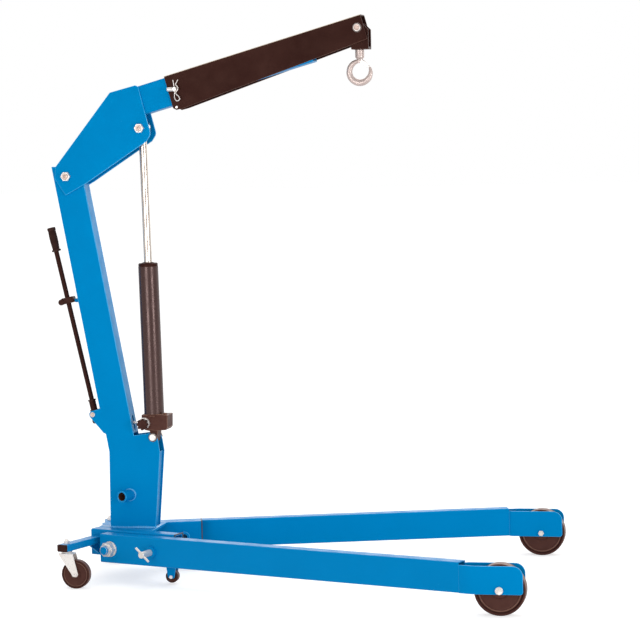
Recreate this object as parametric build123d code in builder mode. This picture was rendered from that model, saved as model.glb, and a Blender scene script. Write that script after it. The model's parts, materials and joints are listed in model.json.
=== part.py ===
from build123d import *
import math
import os

# Folding workshop crane. Millimetres, +X towards the leg tips, +Z up.
# The right-hand side is -Y. The origin is on the floor, under the middle of the whole crane.

# legs: the frame of a leg starts at the rear end of its outer face
SPLAY = 17.8
LEG_X, LEG_Y = -671.8, -137.8
LEG_WIDTH, LEG_HEIGHT, LEG_WALL = 50.0, 100.0, 4.0
LEG_BOTTOM = 71.0
LEG_LENGTH = 1400.0
PIVOT_ALONG, LOCK_ALONG = 43.0, 215.0
PIVOT_Z = LEG_BOTTOM + LEG_HEIGHT / 2
PIVOT_BOLT_R, LOCK_R = 15.0, 11.5
FIT_GAP = 0.05

# wheel forks at the leg tips
FORK_OUTER_Y, FORK_INNER_Y, FORK_END_X = -580.0, -512.0, 870.0
FORK_PLATE, FORK_TOP, FORK_BOTTOM = 5.0, 163.0, 71.0
WHEEL_X, WHEEL_Y, WHEEL_R, WHEEL_WIDTH = 793.8, -546.0, 84.0, 48.0
AXLE_R, HUB_WIDTH = 6.0, 54.0

# chassis
RAIL_OUTER, RAIL_WIDTH, RAIL_WALL = 52.0, 50.0, 5.0
RAIL_REAR, RAIL_FRONT, RAIL_BOTTOM, RAIL_TOP = -75.0, 279.0, 85.0, 177.0
DECK_THICKNESS, DECK_FRONT_X = 8.0, -495.0
ARM_ALONG, ARM_WIDTH, ARM_HEIGHT, ARM_LENGTH, ARM_BOTTOM = -46.0, 40.0, 25.0, 208.0, 130.0
STEM_REACH, CAP_THICKNESS = 184.0, 5.0

# rear casters
CASTER_R, CASTER_WIDTH, CASTER_TRAIL = 50.0, 26.0, 32.0
CASTER_PLATE_TOP, CASTER_PLATE, CASTER_GAP = 122.0, 3.0, 33.0

# small rollers under the chassis
ROLLER_R, ROLLER_WIDTH, ROLLER_ALONG, ROLLER_Z = 22.0, 28.0, 250.0, 28.0

# mast
MAST_HALF, MAST_PLATE, MAST_LEAN, MAST_DEPTH = 30.0, 5.0, 10.0, 105.0
MAST_REAR_X, MAST_REAR_Z, MAST_TOP_Z = -694.0, 599.0, 1452.0
SEAT_Z, BASE_Z = 504.0, 177.0
BOSS_Z, BOSS_R, BOSS_BORE_R, BOSS_LENGTH = 293.0, 20.0, 15.0, 50.0

# boom: its own frame starts at the pivot and runs along the boom
BOOM_ANGLE = 15.3
BOOM_PIVOT = (-789.0, 1417.5)
BOOM_HALF, BOOM_PLATE = 31.0, 6.0
BOOM_LOW, BOOM_HEIGHT, BOOM_WALL, BOOM_START, BOOM_END = 126.0, 100.0, 4.0, 240.0, 963.0
BOLT_R = 10.0
JIB_HALF, JIB_WALL, JIB_START, JIB_END, JIB_TOP = 32.0, 4.0, 442.0, 1165.0, 231.0
JIB_PIN_U, JIB_PIN_R, HOLE_PITCH, HOLE_COUNT = 470.0, 8.0, 50.0, 7

# hook
HANGER_X, HANGER_Z = 262.0, 1903.0
HANGER_HALF, HANGER_BOTTOM = 26.0, 1830.0
HOOK_Z, HOOK_R = 1754.0, 37.0
LATCH_PIVOT, LATCH_RIVET_R = (HANGER_X + 3, HOOK_Z + HOOK_R + 2), 2.5

# ram
RAM_BASE = (-501.4, 497.4)
RAM_TOP = (-516.5, 1579.9)
BARREL_R, BARREL_WALL, ROD_R = 35.0, 5.0, 14.0
BARREL_START, BARREL_END, GLAND_END = 81.0, 600.0, 612.0
EYE_R = BOLT_R + 9.5

# pump lever and handle
LEVER_PIVOT = (-720.0, 577.0)
HANDLE_LEAN = 12.3
LEVER_ARM = 26.0
PUMP_Z, PLUNGER_R, PLUNGER_PLAY, EYE_Z = 546.0, 5.0, 3.5, 555.7
SOCKET_START, SOCKET_END, HANDLE_END, GRIP_START = 10.0, 52.0, 672.0, 590.0
CLIP_Z = 980.0

ALONG = Vector(math.cos(math.radians(SPLAY)), -math.sin(math.radians(SPLAY)), 0)
INWARD = Vector(math.sin(math.radians(SPLAY)), math.cos(math.radians(SPLAY)), 0)
UP = Vector(0, 0, 1)


def leg_point(along, inward, z):
    """A point given along the leg, inward from its outer face, and by height."""
    return Vector(LEG_X, LEG_Y, 0) + ALONG * along + INWARD * inward + UP * z


def across_leg(along, inward, z=0):
    """A plane square to the leg: its X runs inward, its Y up, its normal along the leg."""
    return Plane(origin=leg_point(along, inward, z), x_dir=INWARD, z_dir=ALONG)


def beside_leg(along, inward, z):
    """A plane parallel to the leg's outer face: its X runs along the leg, its normal outward."""
    return Plane(origin=leg_point(along, inward, z), x_dir=ALONG, z_dir=-INWARD)


def side_plane(x, y, z, angle=0):
    """A vertical plane facing the right-hand side (-Y), turned by an angle in degrees."""
    turn = math.radians(angle)
    return Plane(origin=(x, y, z), x_dir=(math.cos(turn), 0, math.sin(turn)), z_dir=(0, -1, 0))


def boom_plane(y):
    """The boom's own frame: X along the boom, Y square to it, normal to the right."""
    return side_plane(BOOM_PIVOT[0], y, BOOM_PIVOT[1], BOOM_ANGLE)


def mirrored(piece):
    """The same piece on the left-hand side."""
    with BuildPart() as other:
        mirror(piece.part, about=Plane.XZ)
    return other


def both_sides(piece):
    """The piece and its mirror image, as separate solids of one node."""
    with BuildPart() as pair:
        add(piece.part)
        mirror(piece.part, about=Plane.XZ)
    return pair


def save(piece, label):
    piece.part.label = label
    export_step(piece.part, f"parts/{label}.step")


def cross_bolt(x, z, radius, head_y, nut_y, angle=0):
    """A hexagon bolt along Y: head on the right, nut on the left, shank between them."""
    across = radius * 1.73
    with BuildPart() as bolt:
        with BuildSketch(side_plane(x, head_y, z, angle)):
            RegularPolygon(across, 6)
        extrude(amount=radius * 1.2)
        head_edges = bolt.faces().sort_by(Axis.Y)[0].edges()
        chamfer(head_edges, length=radius * 0.12)
        with BuildSketch(side_plane(x, head_y, z, angle)):
            Circle(radius)
        extrude(amount=-(nut_y - head_y + radius * 2))
        with BuildSketch(side_plane(x, nut_y, z, angle)):
            RegularPolygon(across, 6)
        extrude(amount=-radius * 1.6)
    return bolt


def round_bolt(x, z, radius, head_r, head_y, nut_y):
    """A round-headed bolt along Y: domed head on the right, hexagon nut on the left."""
    with BuildPart() as bolt:
        with BuildSketch(side_plane(x, head_y, z)):
            Circle(head_r)
        extrude(amount=radius * 0.8)
        fillet(bolt.faces().sort_by(Axis.Y)[0].edges(), radius=head_r * 0.2)
        with BuildSketch(side_plane(x, head_y, z)):
            Circle(radius)
        extrude(amount=-(nut_y - head_y + radius * 2))
        with BuildSketch(side_plane(x, nut_y, z)):
            RegularPolygon(radius * 1.73, 6)
        extrude(amount=-radius * 1.6)
    return bolt


def leg_tube():
    """The box-section leg, holed for its pivot and lock pin, with the welded pin collar."""
    middle = LEG_WIDTH / 2
    with BuildPart() as tube:
        with BuildSketch(across_leg(0, middle, PIVOT_Z)):
            RectangleRounded(LEG_WIDTH, LEG_HEIGHT, 6)
            RectangleRounded(LEG_WIDTH - 2 * LEG_WALL, LEG_HEIGHT - 2 * LEG_WALL, 2, mode=Mode.SUBTRACT)
        extrude(amount=LEG_LENGTH)
        with BuildSketch(beside_leg(LOCK_ALONG, 0, PIVOT_Z)):
            Circle(LOCK_R + 8)
        extrude(amount=10)
        with BuildSketch(beside_leg(LOCK_ALONG, -10, PIVOT_Z)):
            Circle(LOCK_R + FIT_GAP)
        extrude(amount=-LEG_WIDTH - 20, mode=Mode.SUBTRACT)
        with BuildSketch(beside_leg(PIVOT_ALONG, 0, PIVOT_Z)):
            Circle(PIVOT_BOLT_R + FIT_GAP)
        extrude(amount=-LEG_WIDTH - 5, mode=Mode.SUBTRACT)
    return tube


def leg_fork():
    """The two side plates that carry the front wheel, bent to run straight ahead."""
    slope = math.tan(math.radians(SPLAY))
    plates = []
    for inward, end_y, thick in ((0, FORK_OUTER_Y, FORK_PLATE), (LEG_WIDTH, FORK_INNER_Y, -FORK_PLATE)):
        start = leg_point(LEG_LENGTH, inward, 0)
        bend_x = start.X + max((start.Y - end_y) / slope, 12)
        inner_start = leg_point(LEG_LENGTH, inward + thick, 0)
        plates.append(
            [
                (start.X, start.Y),
                (bend_x, end_y),
                (FORK_END_X, end_y),
                (FORK_END_X, end_y + thick),
                (bend_x + thick * math.tan(math.radians(SPLAY / 2)), end_y + thick),
                (inner_start.X, inner_start.Y),
            ]
        )
    with BuildPart() as fork:
        for outline in plates:
            with BuildSketch(Plane.XY.offset(FORK_BOTTOM)):
                with BuildLine():
                    Polyline(*outline, close=True)
                make_face()
            extrude(amount=FORK_TOP - FORK_BOTTOM)
        end_edges = fork.edges().filter_by(Axis.Y).group_by(Axis.X)[-1]
        fillet(end_edges.group_by(Axis.Z)[-1], radius=32)
        end_edges = fork.edges().filter_by(Axis.Y).group_by(Axis.X)[-1]
        fillet(end_edges.group_by(Axis.Z)[0], radius=10)
        with BuildSketch(side_plane(WHEEL_X, FORK_OUTER_Y - 5, WHEEL_R)):
            Circle(AXLE_R)
        extrude(amount=-LEG_WIDTH * 2, mode=Mode.SUBTRACT)
    return fork


def disc_wheel(x, y, z, radius, width, hub_width, bore, hub_r):
    """A solid wheel: rounded tread, a rim bead, a sunk web and a hub."""
    half, hub_half = width / 2, hub_width / 2
    rim, web = radius * 0.84, half * 0.72
    with BuildPart() as wheel:
        with BuildSketch(Plane(origin=(x, y, z), x_dir=(1, 0, 0), z_dir=(0, 0, 1))):
            with BuildLine():
                Polyline(
                    (bore, -hub_half), (hub_r, -hub_half), (hub_r, -web), (rim, -web),
                    (rim + radius * 0.03, -half), (radius * 0.95, -half), (radius, -half * 0.8),
                    (radius, half * 0.8), (radius * 0.95, half), (rim + radius * 0.03, half),
                    (rim, web), (hub_r, web), (hub_r, hub_half), (bore, hub_half), close=True,
                )
            make_face()
        revolve(axis=Axis((x, y, z), (0, 1, 0)), revolution_arc=360)
    return wheel


def front_axle():
    """The bolt through the fork: round head outside, nut inside, shank in the wheel's bore."""
    head_y, nut_y = FORK_OUTER_Y, FORK_INNER_Y
    with BuildPart() as axle:
        with BuildSketch(side_plane(WHEEL_X, head_y, WHEEL_R)):
            Circle(13)
        extrude(amount=7)
        fillet(axle.faces().sort_by(Axis.Y)[0].edges(), radius=2)
        with BuildSketch(side_plane(WHEEL_X, head_y, WHEEL_R)):
            Circle(AXLE_R)
        extrude(amount=-(nut_y - head_y + 14))
        with BuildSketch(side_plane(WHEEL_X, nut_y, WHEEL_R)):
            RegularPolygon(10.5, 6)
        extrude(amount=-10)
    return axle


def lock_pin():
    """The T-handled pin, drawn back so that its tip is still inside the leg."""
    with BuildPart() as pin:
        with BuildSketch(beside_leg(LOCK_ALONG, LEG_WIDTH - 2, PIVOT_Z)):
            Circle(LOCK_R)
        extrude(amount=LEG_WIDTH - 2 + 64)
        chamfer(pin.faces().filter_by(Plane(origin=(0, 0, 0), z_dir=INWARD)).edges(), length=1.5)
        bar_z = PIVOT_Z
        bar_centre = leg_point(LOCK_ALONG, -55, bar_z)
        bar_way = ALONG * math.cos(math.radians(41)) - UP * math.sin(math.radians(41))
        with BuildSketch(Plane(origin=bar_centre - bar_way * 34, z_dir=bar_way)):
            Circle(4)
        extrude(amount=68)
    return pin


def pivot_fasteners():
    """The leg's pivot bolt, held in the chassis rail, with its big lock nut and washers."""
    with BuildPart() as bolt:
        with BuildSketch(beside_leg(PIVOT_ALONG, RAIL_OUTER + RAIL_WIDTH, PIVOT_Z)):
            Circle(PIVOT_BOLT_R)
        extrude(amount=RAIL_OUTER + RAIL_WIDTH + 42)
        with BuildSketch(beside_leg(PIVOT_ALONG, RAIL_OUTER + RAIL_WIDTH, PIVOT_Z)):
            RegularPolygon(26.5, 6)
        extrude(amount=-18)
        with BuildSketch(beside_leg(PIVOT_ALONG, -4.3, PIVOT_Z)):
            RegularPolygon(26.5, 6)
        extrude(amount=22)
        with BuildSketch(beside_leg(PIVOT_ALONG, -26.3, PIVOT_Z)):
            Circle(22)
        extrude(amount=8, taper=12)
        with BuildSketch(beside_leg(PIVOT_ALONG, -0.3, PIVOT_Z)):
            Circle(27)
        extrude(amount=4)
    return bolt


def chassis_rail():
    """One splayed box rail of the chassis, beside the leg, holed for pivot and lock pin."""
    middle = RAIL_OUTER + RAIL_WIDTH / 2
    height = RAIL_TOP - RAIL_BOTTOM
    with BuildPart() as rail:
        with BuildSketch(across_leg(RAIL_REAR, middle, RAIL_BOTTOM + height / 2)):
            RectangleRounded(RAIL_WIDTH, height, 6)
            RectangleRounded(RAIL_WIDTH - 2 * RAIL_WALL, height - 2 * RAIL_WALL, 2, mode=Mode.SUBTRACT)
        extrude(amount=RAIL_FRONT - RAIL_REAR)
        inner = RAIL_OUTER + RAIL_WIDTH
        with BuildSketch(beside_leg(LOCK_ALONG, inner, PIVOT_Z)):
            Circle(LOCK_R + 8)
        extrude(amount=-6)
        with BuildSketch(beside_leg(LOCK_ALONG, inner + 10, PIVOT_Z)):
            Circle(LOCK_R + FIT_GAP)
        extrude(amount=RAIL_WIDTH + 20, mode=Mode.SUBTRACT)
        with BuildSketch(beside_leg(PIVOT_ALONG, inner + 10, PIVOT_Z)):
            Circle(PIVOT_BOLT_R)
        extrude(amount=RAIL_WIDTH + 20, mode=Mode.SUBTRACT)
    return rail


def rail_inner_y(x):
    """How far right the right rail's inner face stands at a given X."""
    corner = leg_point(0, RAIL_OUTER + RAIL_WIDTH, 0)
    return corner.Y - (x - corner.X) * math.tan(math.radians(SPLAY))


def chassis_deck():
    """The plate between the rails that the mast is welded to."""
    rear = leg_point(RAIL_REAR, RAIL_OUTER + RAIL_WIDTH, 0)
    front_y = rail_inner_y(DECK_FRONT_X)
    with BuildPart() as deck:
        with BuildSketch(Plane.XY.offset(RAIL_TOP - DECK_THICKNESS)):
            with BuildLine():
                Polyline(
                    (rear.X, rear.Y), (DECK_FRONT_X, front_y),
                    (DECK_FRONT_X, -front_y), (rear.X, -rear.Y), close=True,
                )
            make_face()
        extrude(amount=DECK_THICKNESS)
    return deck


def caster_arm():
    """The box arm that carries a rear caster, square to the rail."""
    with BuildPart() as arm:
        plane = beside_leg(ARM_ALONG, RAIL_OUTER, ARM_BOTTOM + ARM_HEIGHT / 2)
        with BuildSketch(plane):
            RectangleRounded(ARM_WIDTH, ARM_HEIGHT, 4)
            RectangleRounded(ARM_WIDTH - 6, ARM_HEIGHT - 6, 1, mode=Mode.SUBTRACT)
        extrude(amount=ARM_LENGTH)
        stem = leg_point(ARM_ALONG, RAIL_OUTER - STEM_REACH, 0)
        with BuildSketch(Plane.XY.offset(ARM_BOTTOM - 1)):
            with Locations((stem.X, stem.Y)):
                Circle(6)
        extrude(amount=ARM_HEIGHT + 2, mode=Mode.SUBTRACT)
    return arm


def arm_gusset():
    """The triangular plate under a caster arm, against the rail."""
    with BuildPart() as gusset:
        with BuildSketch(across_leg(ARM_ALONG - 3, RAIL_OUTER, ARM_BOTTOM)):
            with BuildLine():
                Polyline((0, 0), (-58, 0), (0, -38), close=True)
            make_face()
        extrude(amount=6)
    return gusset


def arm_cap():
    """The plastic plug that closes the arm's open end."""
    with BuildPart() as cap:
        end = beside_leg(ARM_ALONG, RAIL_OUTER - ARM_LENGTH, ARM_BOTTOM + ARM_HEIGHT / 2)
        with BuildSketch(end):
            RectangleRounded(ARM_WIDTH, ARM_HEIGHT, 4)
        extrude(amount=CAP_THICKNESS)
        with BuildSketch(end):
            Rectangle(ARM_WIDTH - 8, ARM_HEIGHT - 8)
        extrude(amount=-12)
    return cap


STEM = leg_point(ARM_ALONG, RAIL_OUTER - STEM_REACH, 0)


def stem_bolt():
    """The caster's stem bolt and nut through the arm, with its swivel flange below."""
    with BuildPart() as bolt:
        with BuildSketch(Plane.XY.offset(CASTER_PLATE_TOP + 0.3)):
            with Locations((STEM.X, STEM.Y)):
                Circle(17)
        extrude(amount=ARM_BOTTOM - CASTER_PLATE_TOP - 0.3)
        with BuildSketch(Plane.XY.offset(CASTER_PLATE_TOP - 8)):
            with Locations((STEM.X, STEM.Y)):
                Circle(6)
        extrude(amount=ARM_BOTTOM + ARM_HEIGHT + 16 - CASTER_PLATE_TOP + 8)
        with BuildSketch(Plane.XY.offset(ARM_BOTTOM + ARM_HEIGHT)):
            with Locations((STEM.X, STEM.Y)):
                RegularPolygon(11, 6)
        extrude(amount=10)
        with BuildSketch(Plane.XY.offset(CASTER_PLATE_TOP - 8)):
            with Locations((STEM.X, STEM.Y)):
                Circle(10)
        extrude(amount=4.5)
    return bolt


def caster_fork():
    """The pressed swivel fork: a top plate with two tapered cheeks running back to the axle."""
    half = CASTER_GAP / 2
    axle_x = STEM.X + CASTER_TRAIL
    with BuildPart() as fork:
        with BuildSketch(Plane.XY.offset(CASTER_PLATE_TOP - CASTER_PLATE)):
            with Locations((STEM.X, STEM.Y)):
                SlotOverall(58, CASTER_GAP + 2 * CASTER_PLATE)
        extrude(amount=CASTER_PLATE)
        with BuildSketch(Plane.XY.offset(CASTER_PLATE_TOP - 10)):
            with Locations((STEM.X, STEM.Y)):
                Circle(6 + FIT_GAP)
        extrude(amount=20, mode=Mode.SUBTRACT)
        for side in (-1, 1):
            plane = side_plane(0, STEM.Y + side * (half + CASTER_PLATE / 2) - CASTER_PLATE / 2, 0)
            with BuildSketch(plane):
                with BuildLine():
                    Polyline(
                        (STEM.X - 26, CASTER_PLATE_TOP - 0.5), (STEM.X + 26, CASTER_PLATE_TOP - 0.5),
                        (axle_x + 11, CASTER_R + 2), (axle_x + 8, CASTER_R - 8),
                        (axle_x - 8, CASTER_R - 8), (axle_x - 13, CASTER_R + 2), close=True,
                    )
                make_face()
            extrude(amount=-CASTER_PLATE)
        fillet(fork.edges().filter_by(Axis.Y).group_by(Axis.Z)[0], radius=7)
        with BuildSketch(side_plane(axle_x, STEM.Y - 30, CASTER_R)):
            Circle(4)
        extrude(amount=-60, mode=Mode.SUBTRACT)
    return fork


def caster_axle():
    """The axle rivet through the fork's cheeks."""
    half = CASTER_GAP / 2 + CASTER_PLATE
    x, y = STEM.X + CASTER_TRAIL, STEM.Y
    with BuildPart() as axle:
        with BuildSketch(side_plane(x, y - half, CASTER_R)):
            Circle(7)
        extrude(amount=3.5, taper=20)
        with BuildSketch(side_plane(x, y - half, CASTER_R)):
            Circle(4)
        extrude(amount=-2 * half)
        with BuildSketch(side_plane(x, y + half, CASTER_R)):
            Circle(7)
        extrude(amount=-3.5, taper=20)
    return axle


def roller_place():
    """The roller's centre, under the rail's front end."""
    return leg_point(ROLLER_ALONG, RAIL_OUTER + RAIL_WIDTH / 2, ROLLER_Z)


def roller_bracket():
    """The two ears and their plate, welded under the rail."""
    at = roller_place()
    gap = ROLLER_WIDTH / 2 + 2
    with BuildPart() as bracket:
        with BuildSketch(Plane.XY.offset(RAIL_BOTTOM - 6)):
            with Locations((at.X, at.Y)):
                Rectangle(46, 2 * gap + 10)
        extrude(amount=6)
        for y in (at.Y - gap - 5, at.Y + gap):
            with BuildSketch(side_plane(at.X, y, 0)):
                with BuildLine():
                    Polyline((-20, RAIL_BOTTOM - 5), (20, RAIL_BOTTOM - 5), (11, 22), (-11, 22), close=True)
                make_face()
            extrude(amount=-5)
        fillet(bracket.edges().filter_by(Axis.Y).group_by(Axis.Z)[0], radius=8)
        with BuildSketch(side_plane(at.X, at.Y - 40, ROLLER_Z)):
            Circle(4)
        extrude(amount=-80, mode=Mode.SUBTRACT)
    return bracket


def roller_bolt():
    """The roller's axle bolt and nut."""
    at = roller_place()
    face = ROLLER_WIDTH / 2 + 7
    return cross_bolt(at.X, ROLLER_Z, 4.0, at.Y - face, at.Y + face)


LEAN = math.tan(math.radians(MAST_LEAN))


def mast_rear_x(z):
    return MAST_REAR_X - (z - MAST_REAR_Z) * LEAN


def mast_front_x(z):
    return mast_rear_x(z) + MAST_DEPTH / math.cos(math.radians(MAST_LEAN))


def mast_side_plate():
    """The full-height side plate: base, lever ear, ram seat and leaning upright in one piece."""
    ear_x, ear_z = LEVER_PIVOT
    base_x, ram_x = RAM_BASE[0], RAM_BASE[1]
    with BuildPart() as plate:
        with BuildSketch(side_plane(0, MAST_PLATE - MAST_HALF, 0)):
            with BuildLine():
                Polyline(
                    (-666, BASE_Z), (-663, 446), (-674, 509), (-682, 512),
                    (ear_x - 11, ear_z - 8), (ear_x - 3, ear_z + 13),
                    (mast_rear_x(597), 597), (mast_rear_x(MAST_TOP_Z), MAST_TOP_Z),
                    (mast_front_x(MAST_TOP_Z), MAST_TOP_Z), (mast_front_x(SEAT_Z), SEAT_Z),
                    (-500, 513), (-490, 508), (-483, 485), (-477, 445), (-500, BASE_Z), close=True,
                )
            make_face()
            with Locations((ear_x, ear_z)):
                Circle(13)
        extrude(amount=MAST_PLATE)
        with BuildSketch(side_plane(ear_x, 0, ear_z)):
            Circle(6)
        extrude(amount=MAST_HALF * 2, mode=Mode.SUBTRACT)
        with BuildSketch(side_plane(base_x, 0, ram_x)):
            Circle(BOLT_R)
        extrude(amount=MAST_HALF * 2, mode=Mode.SUBTRACT)
        with BuildSketch(side_plane(BOOM_PIVOT[0], 0, BOOM_PIVOT[1])):
            Circle(BOLT_R)
        extrude(amount=MAST_HALF * 2, mode=Mode.SUBTRACT)
    return plate


def mast_wall(front):
    """The front or rear wall between the side plates; the front one is slotted for the pump rod."""
    half = MAST_HALF - MAST_PLATE
    low_z = 512 if front else 600
    thick = MAST_PLATE / math.cos(math.radians(MAST_LEAN))
    start = mast_front_x if front else mast_rear_x
    shift = -thick if front else 0
    with BuildPart() as wall:
        with BuildSketch(side_plane(0, half, 0)):
            with BuildLine():
                Polyline(
                    (start(low_z) + shift, low_z), (start(low_z) + shift + thick, low_z),
                    (start(MAST_TOP_Z) + shift + thick, MAST_TOP_Z),
                    (start(MAST_TOP_Z) + shift, MAST_TOP_Z), close=True,
                )
            make_face()
        extrude(amount=2 * half)
        if front:
            with BuildSketch(Plane(origin=(start(550) - 40, 0, 546), x_dir=(0, 1, 0), z_dir=(1, 0, 0))):
                SlotOverall(54, 16, rotation=90)
            extrude(amount=80, mode=Mode.SUBTRACT)
    return wall


def mast_base_wall():
    """The walls that close the mast's foot, front and rear."""
    half = MAST_HALF - MAST_PLATE
    with BuildPart() as wall:
        for outline in (
            [(-505, BASE_Z), (-482, 445), (-487, 445), (-510, BASE_Z)],
            [(-666, BASE_Z), (-663, 440), (-658, 440), (-661, BASE_Z)],
        ):
            with BuildSketch(side_plane(0, half, 0)):
                with BuildLine():
                    Polyline(*outline, close=True)
                make_face()
            extrude(amount=2 * half)
    return wall


def storage_boss():
    """The tube on the mast's side that takes the lock pin when the leg is folded up."""
    pivot = leg_point(PIVOT_ALONG, 0, BOSS_Z)
    reach = (-MAST_HALF - pivot.Y) / INWARD.Y
    with BuildPart() as boss:
        face = leg_point(PIVOT_ALONG, reach - BOSS_LENGTH, BOSS_Z)
        with BuildSketch(Plane(origin=face, x_dir=ALONG, z_dir=INWARD)):
            Circle(BOSS_R)
        extrude(amount=BOSS_LENGTH + 10)
        with BuildSketch(Plane.XZ.offset(MAST_HALF)):
            Rectangle(4000, 4000)
        extrude(amount=-200, mode=Mode.SUBTRACT)
        with BuildSketch(Plane(origin=face, x_dir=ALONG, z_dir=INWARD)):
            Circle(BOSS_BORE_R)
        extrude(amount=BOSS_LENGTH - 14, mode=Mode.SUBTRACT)
    return boss


def boom_side_plate():
    """The cheek plate that joins mast, boom tube and ram."""
    with BuildPart() as plate:
        with BuildSketch(side_plane(0, -BOOM_HALF, 0)):
            with BuildLine():
                Polyline(
                    (-832, 1412), (-827, 1452), (-621, 1706), (-528, 1729), (-517, 1724),
                    (-476, 1558), (-492, 1534), (-709, 1396), (-793, 1351), close=True,
                )
            make_face()
            fillet(vertices().sort_by(Axis.X)[-1], radius=22)
        extrude(amount=BOOM_PLATE)
        for x, z in (BOOM_PIVOT, RAM_TOP):
            with BuildSketch(side_plane(x, 0, z)):
                Circle(BOLT_R + (FIT_GAP if (x, z) == BOOM_PIVOT else 0))
            extrude(amount=BOOM_HALF * 2, mode=Mode.SUBTRACT)
    return plate


def boom_tube():
    """The boom's box tube, with the jib pin's row of holes."""
    middle = BOOM_LOW + BOOM_HEIGHT / 2
    turn = math.radians(BOOM_ANGLE)
    start = boom_plane(0).from_local_coords((BOOM_START, middle, 0))
    width = 2 * BOOM_HALF
    with BuildPart() as tube:
        plane = Plane(origin=start, x_dir=(0, 1, 0), z_dir=(math.cos(turn), 0, math.sin(turn)))
        with BuildSketch(plane):
            RectangleRounded(width, BOOM_HEIGHT, 5)
            RectangleRounded(width - 2 * BOOM_WALL, BOOM_HEIGHT - 2 * BOOM_WALL, 2, mode=Mode.SUBTRACT)
        extrude(amount=BOOM_END - BOOM_START)
        with BuildSketch(boom_plane(-BOOM_HALF * 2)):
            for i in range(HOLE_COUNT + 1):
                with Locations((JIB_PIN_U + i * HOLE_PITCH, middle)):
                    Circle(JIB_PIN_R + FIT_GAP)
        extrude(amount=-BOOM_HALF * 4, mode=Mode.SUBTRACT)
    return tube


def jib_channel():
    """The sliding jib: an inverted channel over the boom tube, deeper at its rear."""
    outer = JIB_HALF + JIB_WALL
    with BuildPart() as jib:
        with BuildSketch(boom_plane(-outer)):
            with BuildLine():
                Polyline(
                    (JIB_START, JIB_TOP), (JIB_START, 116), (JIB_START + 10, 107), (JIB_START + 37, 106),
                    (JIB_END - 60, 140), (JIB_END, 144), (JIB_END, JIB_TOP), close=True,
                )
            make_face()
        extrude(amount=-2 * outer)
        with BuildSketch(boom_plane(-JIB_HALF)):
            with Locations(((JIB_START + JIB_END) / 2, JIB_TOP - JIB_WALL - 100)):
                Rectangle(JIB_END - JIB_START + 100, 200)
        extrude(amount=-2 * JIB_HALF, mode=Mode.SUBTRACT)
        with BuildSketch(boom_plane(-outer - 10)):
            with Locations((JIB_PIN_U, BOOM_LOW + BOOM_HEIGHT / 2)):
                Circle(JIB_PIN_R + FIT_GAP)
            with Locations((456, 116)):
                Circle(3)
        extrude(amount=-2 * outer - 20, mode=Mode.SUBTRACT)
        with BuildSketch(side_plane(HANGER_X, -outer - 10, HANGER_Z)):
            Circle(BOLT_R)
        extrude(amount=-2 * outer - 20, mode=Mode.SUBTRACT)
        lengthwise = jib.edges().filter_by(Axis((0, 0, 0), boom_plane(0).x_dir))
        top_edges = lengthwise.sort_by(Axis((0, 0, 0), boom_plane(0).y_dir))[-2:]
        fillet(top_edges, radius=2.5)
    return jib


def jib_pin():
    """The jib's locking pin, its tail on the right drilled for the spring clip."""
    outer = JIB_HALF + JIB_WALL
    middle = BOOM_LOW + BOOM_HEIGHT / 2
    with BuildPart() as pin:
        with BuildSketch(boom_plane(-outer - 22)):
            with Locations((JIB_PIN_U, middle)):
                Circle(JIB_PIN_R)
        extrude(amount=-2 * outer - 23)
        with BuildSketch(boom_plane(outer + 1)):
            with Locations((JIB_PIN_U, middle)):
                Circle(JIB_PIN_R * 1.6)
        extrude(amount=-7)
        chamfer(pin.faces().sort_by(Axis.Y)[0].edges(), length=1.5)
        centre = boom_plane(-outer - 13).from_local_coords((JIB_PIN_U, middle, 0))
        with BuildSketch(Plane(origin=centre + Vector(0, -1, 0), z_dir=(-1, 0, 0))):
            Circle(JIB_PIN_R - 1)
        extrude(amount=28)
        fillet(pin.faces().sort_by(Axis.X)[0].edges(), radius=4)
        with BuildSketch(Plane(origin=centre - Vector(0, 0, 20), z_dir=(0, 0, 1))):
            Circle(2.8)
        extrude(amount=40, mode=Mode.SUBTRACT)
    return pin


def r_clip():
    """The spring clip through the jib pin: a straight leg in the hole and a waved leg round it."""
    outer = JIB_HALF + JIB_WALL
    middle = BOOM_LOW + BOOM_HEIGHT / 2
    centre = boom_plane(-outer - 13).from_local_coords((JIB_PIN_U, middle, 0))
    with BuildPart() as clip:
        with BuildLine(Plane(origin=centre, x_dir=(1, 0, 0), z_dir=(0, -1, 0))):
            Spline(
                (0, 28), (0, 0), (0, -26), (8, -44), (18, -40), (16, -28),
                (10.5, -14), (13.5, 0), (10.5, 13), (13.5, 28),
                tangents=[(0, -1), (0.4, 1)],
            )
        with BuildSketch(Plane(origin=centre + Vector(0, 0, 28), z_dir=(0, 0, -1))):
            Circle(1.5)
        sweep()
    return clip


def jib_bolts():
    """The hanger bolt at the tip, and the small bolt that holds the channel's lips under the tube."""
    outer = JIB_HALF + JIB_WALL
    at = boom_plane(0).from_local_coords((456, 116, 0))
    with BuildPart() as bolts:
        add(cross_bolt(at.X, at.Z, 3.0, -outer, outer, BOOM_ANGLE).part)
        add(round_bolt(HANGER_X, HANGER_Z, BOLT_R, 13, -outer, outer).part)
    return bolts


def mast_pivot_bolts():
    """The two bolts held in the mast: the boom's pivot and the ram's base pivot."""
    face = BOOM_HALF + BOOM_PLATE + 0.3
    with BuildPart() as bolts:
        add(cross_bolt(*BOOM_PIVOT, BOLT_R, -face, face).part)
        add(round_bolt(*RAM_BASE, BOLT_R, 12.5, -MAST_HALF, MAST_HALF).part)
    return bolts


def ram_top_bolt():
    """The bolt held in the boom's cheeks that the ram's rod eye pushes on."""
    face = BOOM_HALF + BOOM_PLATE
    return cross_bolt(*RAM_TOP, BOLT_R, -face, face)


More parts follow.
